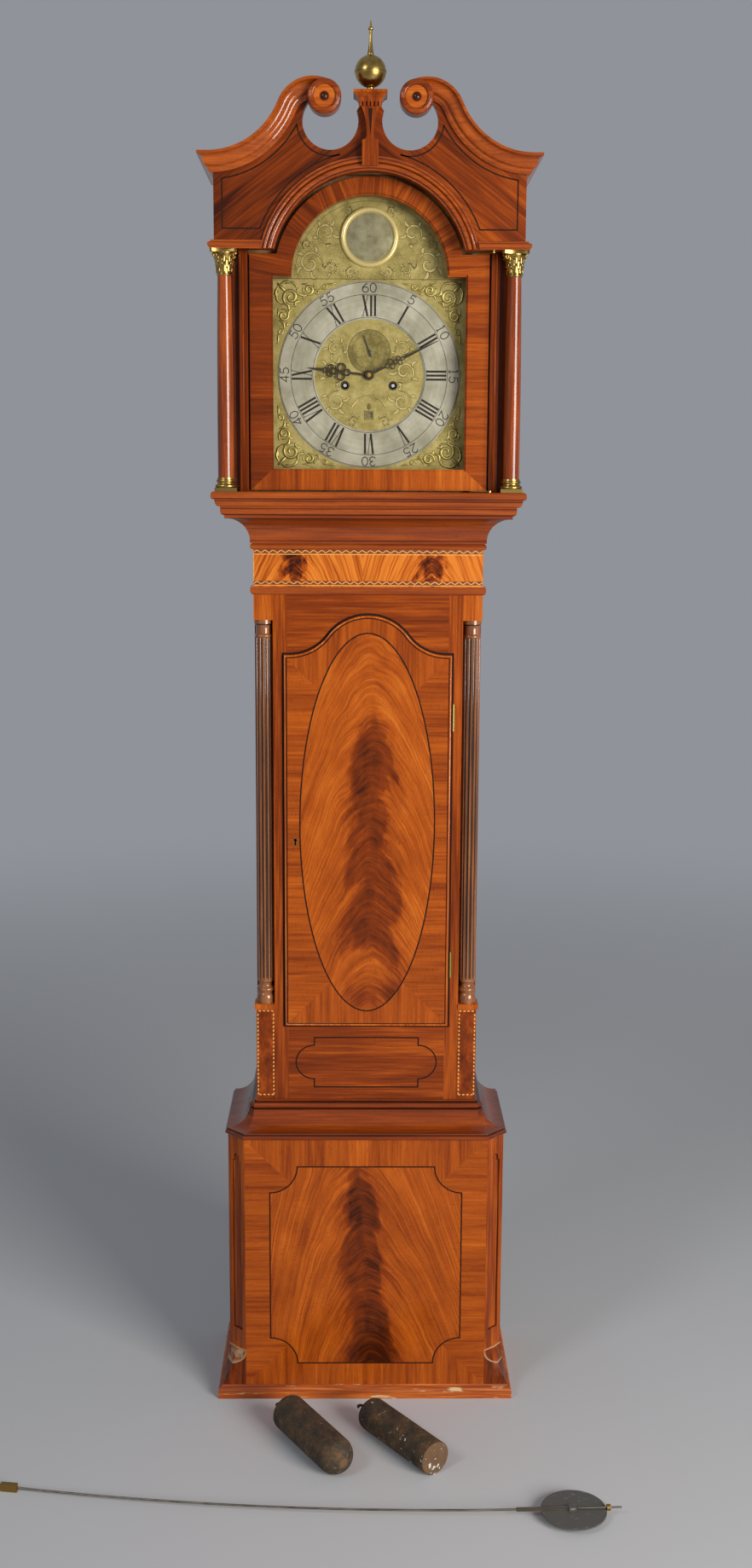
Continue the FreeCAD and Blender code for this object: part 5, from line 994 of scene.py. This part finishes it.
def digit(kind):
    """Strokes of one Arabic figure, 8 wide and 14 tall, as lists of points."""
    return {
        "0": [arc((4.0, 7.0), (3.4, 6.6), 90.0, 450.0)],
        "1": [[(4.0, 0.2), (4.0, 13.8)], [(2.0, 12.0), (4.0, 13.8)], [(2.2, 0.3), (5.8, 0.3)]],
        "2": [np.concatenate([arc((4.0, 10.2), (3.2, 3.5), 175.0, -35.0), [(0.8, 0.6), (7.4, 0.6)]])],
        "3": [np.concatenate([arc((3.8, 10.5), (3.0, 3.2), 160.0, -85.0), arc((3.8, 3.8), (3.5, 3.6), 85.0, -155.0)])],
        "4": [[(5.8, 0.2), (5.8, 13.8), (0.6, 4.2), (7.8, 4.2)]],
        "5": [np.concatenate([[(7.0, 13.4), (2.2, 13.4), (1.6, 7.6)], arc((3.8, 4.6), (3.5, 4.2), 125.0, -155.0)])],
        "6": [np.concatenate([arc((9.0, 4.4), (8.4, 9.2), 110.0, 180.0), arc((4.0, 4.2), (3.4, 4.0), 180.0, 540.0)])],
    }[kind]


print("letters and figures ready")

# %% Hours, minutes and rings in wax
RING_FRONT = -59.5
wax = mottled("black wax", tint(28, 26, 24), tint(66, 62, 54), 0.5, 4.0, Roughness=0.7, Specular_IOR_Level=0.1)


def waxed(path, width, closed=False):
    """A stroke of wax on the chapter ring."""
    return carry(path, strip(width, 0.1, 0.2), RING_FRONT, closed)


def turned_to(points, foot, turn):
    """Points drawn upright above a foot radius, turned clockwise about the dial's centre."""
    points = np.asarray(points, dtype=float) + [0.0, foot]
    c, s = np.cos(turn), np.sin(turn)
    return points @ np.array([[c, -s], [s, c]]) + [0.0, DIAL_Z]


strokes = []
ROMAN = "I II III IIII V VI VII VIII IX X XI XII".split()
for hour, word in enumerate(ROMAN, start=1):
    turn = np.radians(30.0 * hour)
    start = -sum(letter(kind)[1] for kind in word) / 2
    for kind in word:
        drawn, advance = letter(kind)
        for points, width in drawn:
            strokes.append(waxed(turned_to(np.array(points) + [start, 0.0], HOUR_FOOT, turn), width))
        start += advance
    figures = str(5 * hour)
    start = -MINUTE_PITCH / 2 * len(figures)
    for kind in figures:
        for points in digit(kind):
            placed = np.array(points) * [MINUTE_WIDE, MINUTE_TALL] + [start + 0.6, 0.0]
            strokes.append(waxed(turned_to(placed, MINUTE_FOOT, turn), 1.5))
        start += MINUTE_PITCH
for radius, width in ((92.4, 0.8), (128.6, 0.8), (147.7, 0.7)):
    strokes.append(waxed(circle((0.0, DIAL_Z), radius, 180), width, True))
piece("dial_numerals", strokes, "case", wax)

# %% [markdown]
# ## Engraving and cast scrolls
# The dial's middle and its arch are engraved with scrolling leaves, and the corners carry cast scrolls. Both
# are built from one spiral: its radius shrinks evenly while it turns. Engraved, it is a pair of hair lines with a
# bright burr between them; cast, it is a half round that swells in the middle of its run. Bump in the brass could
# show the lines too, but only a shape catches the light at its edges.

# %% Spirals and leaves
def spiral(centre, size, start, turns, shrink=0.85):
    """A spiral: its radius falls evenly from size to a small rest while it turns; negative turns run clockwise."""
    t = np.linspace(0.0, 1.0, 44)
    angle = np.radians(start) + 2.0 * np.pi * turns * t
    radius = size * (1.0 - shrink * t)
    return np.array(centre) + radius[:, None] * np.stack([np.cos(angle), np.sin(angle)], axis=1)


def leaf_stroke(root, tip, bow, points=14):
    """A curved stroke from root to tip: the straight line, pushed sideways by bow times half a sine wave."""
    t = np.linspace(0.0, 1.0, points)[:, None]
    root, tip = np.array(root), np.array(tip)
    ahead = tip - root
    return root + ahead * t + np.array([-ahead[1], ahead[0]]) * bow * np.sin(np.pi * t)


def swelling(count, least=0.35):
    """Thick in the middle of a run and thin at both ends: half a sine wave to the power 0.7, on top of least."""
    return least + (1.0 - least) * np.sin(np.pi * np.linspace(0.0, 1.0, count)) ** 0.7


def leaf_edges(path, width):
    """Both edges of a leaf: its midline pushed to the left and right by half a width that swells and dies away."""
    step = np.gradient(path, axis=0)
    left = np.stack([-step[:, 1], step[:, 0]], axis=1) / np.linalg.norm(step, axis=1, keepdims=True)
    push = left * (swelling(len(path), 0.1) * width / 2)[:, None]
    return [path + push, path - push]


def scroll_with_leaves(centre, size, start, turns, reach):
    """Midlines of a spiral and of five leaves that branch off its outside, with the widths they swell to."""
    lines = [(spiral(centre, size, start, turns), size * 0.22)]
    for k in range(5):
        angle = np.radians(start) + 2.0 * np.pi * turns * k / 7
        out = np.array([np.cos(angle), np.sin(angle)])
        tip = np.array(centre) + out * size * reach + np.array([-out[1], out[0]]) * size * 0.35 * np.sign(turns)
        lines.append((leaf_stroke(np.array(centre) + out * size * (1.0 - 0.12 * k), tip, 0.25), size * 0.26))
    return lines


print("leaves and scrolls ready to draw")

# %% Where the engraved scrolls lie
CENTRE_SCROLLS = (((58.0, 6.0), 19.0, -120.0, 1.4), ((56.0, 42.0), 14.0, 200.0, -1.3),
                  ((54.0, -42.0), 17.0, 100.0, -1.4), ((26.0, -75.0), 9.0, 150.0, -1.2))
ARCH_SCROLLS = (((96.0, 24.0), 20.0, -170.0, -1.4), ((70.0, 72.0), 18.0, 250.0, 1.4),
                ((62.0, 16.0), 11.0, 0.0, 1.3), ((30.0, 10.0), 9.5, 90.0, -1.3),
                ((102.0, 54.0), 8.0, 300.0, 1.3), ((36.0, 107.0), 7.0, 200.0, -1.3))
leaves = []
for scrolls, height, reach in ((CENTRE_SCROLLS, DIAL_Z, 1.40), (ARCH_SCROLLS, ARCH_Z, 1.30)):
    for scroll in scrolls:
        leaves += [(path + [0.0, height], wide) for path, wide in scroll_with_leaves(*scroll, reach)]
leaves += [(flipped(path)[::-1], wide) for path, wide in leaves]
print(len(leaves), "leaves and stems")

# %% Engraved lines, their burr and a painted highlight
PLATE_FRONT = -58.0
SECONDS_INNER, TICK_END, SECONDS_OUTER = 27.0, 30.5, 34.6
cut_line = mottled("engraved line", tint(84, 72, 36), tint(132, 116, 64), 0.4, 4.0, Metallic=0.6, Roughness=0.6)


def cut(path, width, closed=False, swell=1.0):
    """An engraved line: a thin dark strip on the dial plate."""
    return carry(path, strip(width, 0.06, 0.2), PLATE_FRONT, closed, swell)


lines = [cut(circle(SECONDS, SECONDS_OUTER, 72), 1.5, True), cut(circle(SECONDS, SECONDS_INNER, 72), 0.8, True)]
for turn in np.radians(np.arange(0.0, 360.0, 6.0)):
    tick = np.outer((SECONDS_INNER, TICK_END), (np.sin(turn), np.cos(turn)))
    lines.append(cut(np.array(SECONDS) + tick, 0.7))
lines.append(cut([(-160.0, ARCH_Z), (160.0, ARCH_Z)], 1.2))
lines.append(cut(arc((0.0, ARCH_Z), 122.0, 3.0, 177.0, 60), 0.8))
window = np.array([(-7.4, -70.4), (7.4, -70.4), (7.4, -57.6), (-7.4, -57.6)]) + [0.0, DIAL_Z]
lines.append(cut(window, 1.4, True))
upright = np.stack([np.zeros(13), np.linspace(DIAL_Z - 56.0, DIAL_Z - 45.0, 13)], axis=1)
lines.append(cut(upright, 7.0, False, swelling(13, 0.2)))
for path, wide in leaves:
    lines += [cut(edge, 0.9) for edge in leaf_edges(path, wide)]
piece("dial_engraving", lines, "case", cut_line)

burr_and_highlight = [carry(path, strip(0.8 * wide, 0.03, 0.2), PLATE_FRONT, False, swelling(len(path), 0.1))
        for path, wide in leaves]
burr_and_highlight.append(carry(arc((0.0, DIAL_Z - 84.0), (36.0, 52.0), 40.0, 140.0, 30), half_round(1.2, 0.2, 7), PLATE_FRONT))
# Painted highlight: a bright arc on the left of the sunk seconds dial's rim.
burr_and_highlight.append(carry(arc(SECONDS, 35.9, 100.0, 250.0, 40), strip(1.0, 0.05, 0.2), PLATE_FRONT))
piece("dial_burr", burr_and_highlight, "case", bright_brass)

# %% Cast corner scrolls
CORNER = (153.0, 148.5)
RELIEF = half_round(2.5, 0.4, 7)


def cast(path, size):
    """A cast stem along a path drawn from the corner inwards, as relief on the dial plate."""
    return carry(path, RELIEF, PLATE_FRONT, False, size * swelling(len(path)))


def corner_paths():
    """One corner, drawn as (distance in from the side, distance in from the top): scrolls, stems and leaves."""
    middle = [(spiral((25.0, 25.0), 15.0, 45.0, 1.6), 1.1), (leaf_stroke((3.0, 3.0), (16.0, 16.0), 0.0), 1.2),
              (leaf_stroke((40.0, 32.0), (32.0, 40.0), 0.35), 1.0)]
    half = [(spiral((54.0, 13.0), 10.0, 200.0, -1.4), 1.0), (spiral((80.0, 7.5), 5.5, 190.0, -1.2), 0.7),
            (leaf_stroke((36.0, 9.0), (47.0, 22.0), 0.35), 1.0), (leaf_stroke((4.0, 16.0), (13.0, 36.0), 0.3), 0.9),
            (leaf_stroke((62.0, 5.0), (76.0, 13.0), 0.3), 0.8), (leaf_stroke((84.0, 3.0), (99.0, 2.6), 0.1), 0.7),
            (leaf_stroke((7.0, 6.0), (30.0, 4.0), -0.2), 0.9), (leaf_stroke((43.0, 4.0), (56.0, 2.8), 0.1), 0.7),
            (leaf_stroke((28.0, 45.0), (22.0, 54.0), 0.3), 0.8), (leaf_stroke((64.0, 19.0), (71.0, 14.0), 0.3), 0.7)]
    return middle + half + [(path[:, ::-1], size) for path, size in half]


scrolls = []
for right in (1.0, -1.0):
    for up in (1.0, -1.0):
        for path, size in corner_paths():
            placed = (np.array(CORNER) - path) * [right, up] + [0.0, DIAL_Z]
            scrolls.append(cast(placed, size))
spandrels = piece("cast_spandrels", scrolls, "case", gilt_brass, True)
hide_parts("dial_spandrels")

# %% Winding rims of painted shade and the ring's bevels
BEVEL_IN, BEVEL_OUT = 91.4, 148.4
# Black rings round the winding holes: painted shade at the holes' edges.
shade_rims = [carry(circle((x, WINDING[1]), 6.6, 36), strip(1.8, 0.1, 0.2), PLATE_FRONT, True)
        for x in (-WINDING[0], WINDING[0])]
piece("winding_rims", shade_rims, "case", wax)
slope_in = [(0.0, -1.4), (0.0, 0.05), (2.0, -1.4)]
slope_out = [(0.0, -1.4), (-1.7, -1.4), (0.0, 0.05)]
bevels = [carry(circle((0.0, DIAL_Z), radius, 180), slope, RING_FRONT, True)
          for radius, slope in ((BEVEL_IN, slope_in), (BEVEL_OUT, slope_out))]
piece("ring_bevels", bevels, "case", silvering)

# %% [markdown]
# ## Capitals
# The hood's columns have cast brass capitals: three rows of leaves that curl outwards under a hollow-sided slab,
# a scroll at each corner and a smaller one between. They could be sculpted by hand, but one formula gives all the
# leaves: each is a flat lens carried up the bell, which widens, leans out and bends over at its tip. A scroll is
# a ring.

# %% Leaves and corner scrolls
COLUMN = (232.0, -110.0)
CAPITAL_LOW = 1933.0


def curled_leaf(turn, foot, height, inner, lean, width):
    """A leaf round a column: at the share v of its height it lies lean * v^2.4 further out, its half width swells
    and dies away, and its height follows a quarter wave and a little more, so that the tip droops."""
    v = np.linspace(0.0, 1.0, 10)[:, None]
    u = np.linspace(0.0, 2.0 * np.pi, 8, endpoint=False)[None]
    half = width * (0.65 + 0.5 * np.sin(np.pi * v)) * (1.0 - v ** 4)
    radius = inner + lean * v ** 2.4 + 0.9 * np.sin(u) * (1.0 - v ** 4)
    angle = turn + half * np.cos(u) / radius
    rise = foot + height * np.sin(0.64 * np.pi * v) + 0.0 * u
    grid = np.stack([COLUMN[0] + radius * np.sin(angle), COLUMN[1] - radius * np.cos(angle), rise], axis=-1)
    tips = np.repeat(grid.mean(axis=1, keepdims=True), 8, axis=1)
    return np.concatenate([tips[:1], grid, tips[-1:]]), (False, True)


def corner_scroll(turn, out, height, radius, thick):
    """A ring that stands upright in the plane through the column's axis and a corner: a small circle of radius
    thick, carried round a larger one of the given radius."""
    a = np.linspace(0.0, 2.0 * np.pi, 16, endpoint=False)[:, None]
    b = np.linspace(0.0, 2.0 * np.pi, 8, endpoint=False)[None]
    outward = out + (radius + thick * np.cos(b)) * np.cos(a)
    aside = thick * np.sin(b) + 0.0 * a
    rise = height + (radius + thick * np.cos(b)) * np.sin(a)
    x = COLUMN[0] + outward * np.sin(turn) + aside * np.cos(turn)
    y = COLUMN[1] - outward * np.cos(turn) + aside * np.sin(turn)
    return np.stack([x, y, rise], axis=-1), (True, True)


LEAF_ROWS = ((0.0, 4.0, 13.0, 12.4, 4.6, 4.0), (0.5, 11.0, 14.5, 13.0, 5.6, 4.0), (0.0, 19.0, 12.0, 14.0, 5.0, 3.0))
SCROLL_ROWS = ((0.5, 19.6, 30.5, 2.9, 1.5), (0.0, 17.4, 35.0, 1.4, 1.3))
foliage = []
for shift, foot, height, inner, lean, width in LEAF_ROWS:
    turns = (np.arange(8) + shift) * np.pi / 4
    foliage += [curled_leaf(turn, CAPITAL_LOW + foot, height, inner, lean, width) for turn in turns]
for shift, out, height, radius, thick in SCROLL_ROWS:
    turns = (np.arange(4) + shift) * np.pi / 2
    foliage += [corner_scroll(turn, out, CAPITAL_LOW + height, radius, thick) for turn in turns]
piece("capital_leaves", both_sides(foliage), "hood", old_brass, True)

# %% [markdown]
# ## Beads on the hood's posts
# Behind each column stands a post with a slim bead down its front, which catches the light beside the door. On
# the real clock it is planed on the post itself; here it is a half round carried up a straight line, as the
# door's bead is, because it is too slim for the solid.

# %% Post beads
POST_FRONT, POST_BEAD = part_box("hood_side_frames")[0][1] / METRE, 203.0
POST_LOW, POST_HIGH = 1597.0, 1970.0
beads = [carry([(x, POST_LOW), (x, POST_HIGH)], half_round(1.4), POST_FRONT) for x in (-POST_BEAD, POST_BEAD)]
piece("post_beads", beads, "hood", side_board, True)

# %% [markdown]
# ## Sunk panels on the base's corners
# The corners of the base are cut off at 45 degrees, and each cut has a slim sunk panel with a round head. A dark
# line of painted shade runs along the panel's edge. A profile is carried only along lines on a front, so the
# line is drawn flat and then turned into its place.

# %% Painted shade lines in the corner panels
CUT_MIDDLE, PANEL_DEEP = (227.0, -105.0), 2.5
HEAD_Z, HEAD_RADIUS = 444.0, 7.2
side = [(11.2, 124.8), (11.2, 439.2), (HEAD_RADIUS, 439.2), (HEAD_RADIUS, HEAD_Z)]
outline = np.concatenate([side, arc((0.0, HEAD_Z), HEAD_RADIUS, 0.0, 180.0, 16), flipped(side)[::-1]])
# Painted shade: a dark line round each sunk panel.
grid, closed = carry(outline, strip(1.8, 0.1), PANEL_DEEP, True)
across, deep = grid[..., 0] * np.sqrt(0.5), grid[..., 1] * np.sqrt(0.5)
turned = np.stack([CUT_MIDDLE[0] + across - deep, CUT_MIDDLE[1] + across + deep, grid[..., 2]], axis=-1)
piece("corner_panel_shade_lines", both_sides([(turned, closed)]), "case", dark_string_and_shade)

# %% [markdown]
# ## Console and keyhole
# Under the finial's seat the gaps between the dentils carry strips of painted shadow, and a slim dark leaf is let
# into the neck below them. The trunk door has a small brass liner round its keyhole. All of them are strips on a
# front, as the stringing is, and too thin to be solids.

# %% Console inlay, dentil shadows and keyhole liner
CONSOLE_FRONT = -141.0
# Painted shadow in the gaps between the dentils; the tapering blade below is inlay.
dentil_shadows_and_inlay = [carry([(x, 2185.4), (x, 2191.6)], strip(2.0, 0.1, 0.2), CONSOLE_FRONT) for x in np.arange(-12.0, 13.0, 6.0)]
blade = np.stack([np.zeros(12), np.linspace(2182.0, 2144.0, 12)], axis=1)
dentil_shadows_and_inlay.append(carry(blade, strip(7.0, 0.1, 0.2), CONSOLE_FRONT, False, np.linspace(1.0, 0.12, 12)))
piece("console_inlay_and_dentil_shadows", dentil_shadows_and_inlay, "hood", dark_string_and_shade)
KEYHOLE, KEYHOLE_EYE = (-123.0, 1007.0), 3.4
slot_foot = np.array(KEYHOLE) + [(-2.4, -11.0), (2.4, -11.0)]
liner = np.concatenate([arc(KEYHOLE, KEYHOLE_EYE, -60.0, 240.0, 24), slot_foot])
piece("keyhole_liner", [carry(liner, strip(1.2, 0.25), DOOR_FRONT, True)], "trunk_door", old_brass)

# %% [markdown]
# ## Floor and light
# A plain pale floor and soft lamps: a large one at eye level on the right, which draws the bright lines down the
# columns, a weaker one high on the left, which glances off the swan necks, and an even world so that no side
# goes black. Far out the floor fades into the tone of the world, so that no horizon shows.

# %% Floor and lamps
BACKDROP = tint(144, 147, 153)


def lamp(name, place, aim, size, power, colour):
    """A square area lamp at a place in metres, turned towards aim."""
    light = bpy.data.lights.new(name, "AREA")
    light.size = size
    light.energy = power
    light.color = colour
    made = bpy.data.objects.new(name, light)
    back = np.array(place) - np.array(aim)
    back = back / np.linalg.norm(back)
    right = np.cross([0.0, 0.0, 1.0], back)
    right = right / np.linalg.norm(right)
    matrix = np.eye(4)
    matrix[:3] = np.column_stack([right, np.cross(back, right), back, place])
    made.matrix_world = matrix.T.tolist()
    bpy.context.collection.objects.link(made)
    return made


FLOOR_REACH, HAZE_FROM, HAZE_TO = 9000.0, 1300.0, 5200.0
reach = np.linspace(-FLOOR_REACH, FLOOR_REACH, 3)
floor_x, floor_y = np.meshgrid(reach, reach)
floor = joined("floor", [(np.stack([floor_x, floor_y, 0.0 * floor_x], axis=-1), (False, False))])
floor_paint, (x, y, z), _ = finish("floor paint", Base_Color=tint(196, 197, 199), Roughness=0.9)
far = smooth(away(x, y), HAZE_FROM, HAZE_TO)
haze = far.node("Emission", {}, {"Color": BACKDROP})
tree = floor_paint.node_tree
cover = far.node("MixShader", {}, {0: far, 1: Wire(tree.nodes["Principled BSDF"].outputs[0]), 2: haze})
tree.links.new(cover.socket, tree.nodes["Material Output"].inputs["Surface"])
floor.data.materials.append(floor_paint)
key = lamp("key", (2.5, -3.3, 1.7), aim=(0.0, 0.0, 1.2), size=1.9, power=182.0, colour=(1.0, 0.97, 0.92))
fill = lamp("fill", (-2.4, -2.8, 3.3), aim=(0.0, 0.0, 1.6), size=1.0, power=34.0, colour=(0.95, 0.97, 1.0))
print("lamps", key.name, fill.name)

# %% World
world = bpy.data.worlds.new("studio")
world.use_nodes = True
tree = world.node_tree
even = tree.nodes["Background"]
even.inputs["Color"].default_value = tint(178, 182, 190)
even.inputs["Strength"].default_value = 0.46
path = tree.nodes.new("ShaderNodeLightPath")
seen = sum(Wire(path.outputs["Is " + kind + " Ray"]) for kind in ("Camera", "Glossy", "Transmission"))
shown = seen.node("Background", {}, {"Color": BACKDROP, "Strength": 1.0})
both_skies = seen.node("MixShader", {}, {0: seen.math("MINIMUM", 1.0), 1: Wire(even.outputs[0]), 2: shown})
tree.links.new(both_skies.socket, tree.nodes["World Output"].inputs["Surface"])
bpy.context.scene.world = world
print("world", world.name)
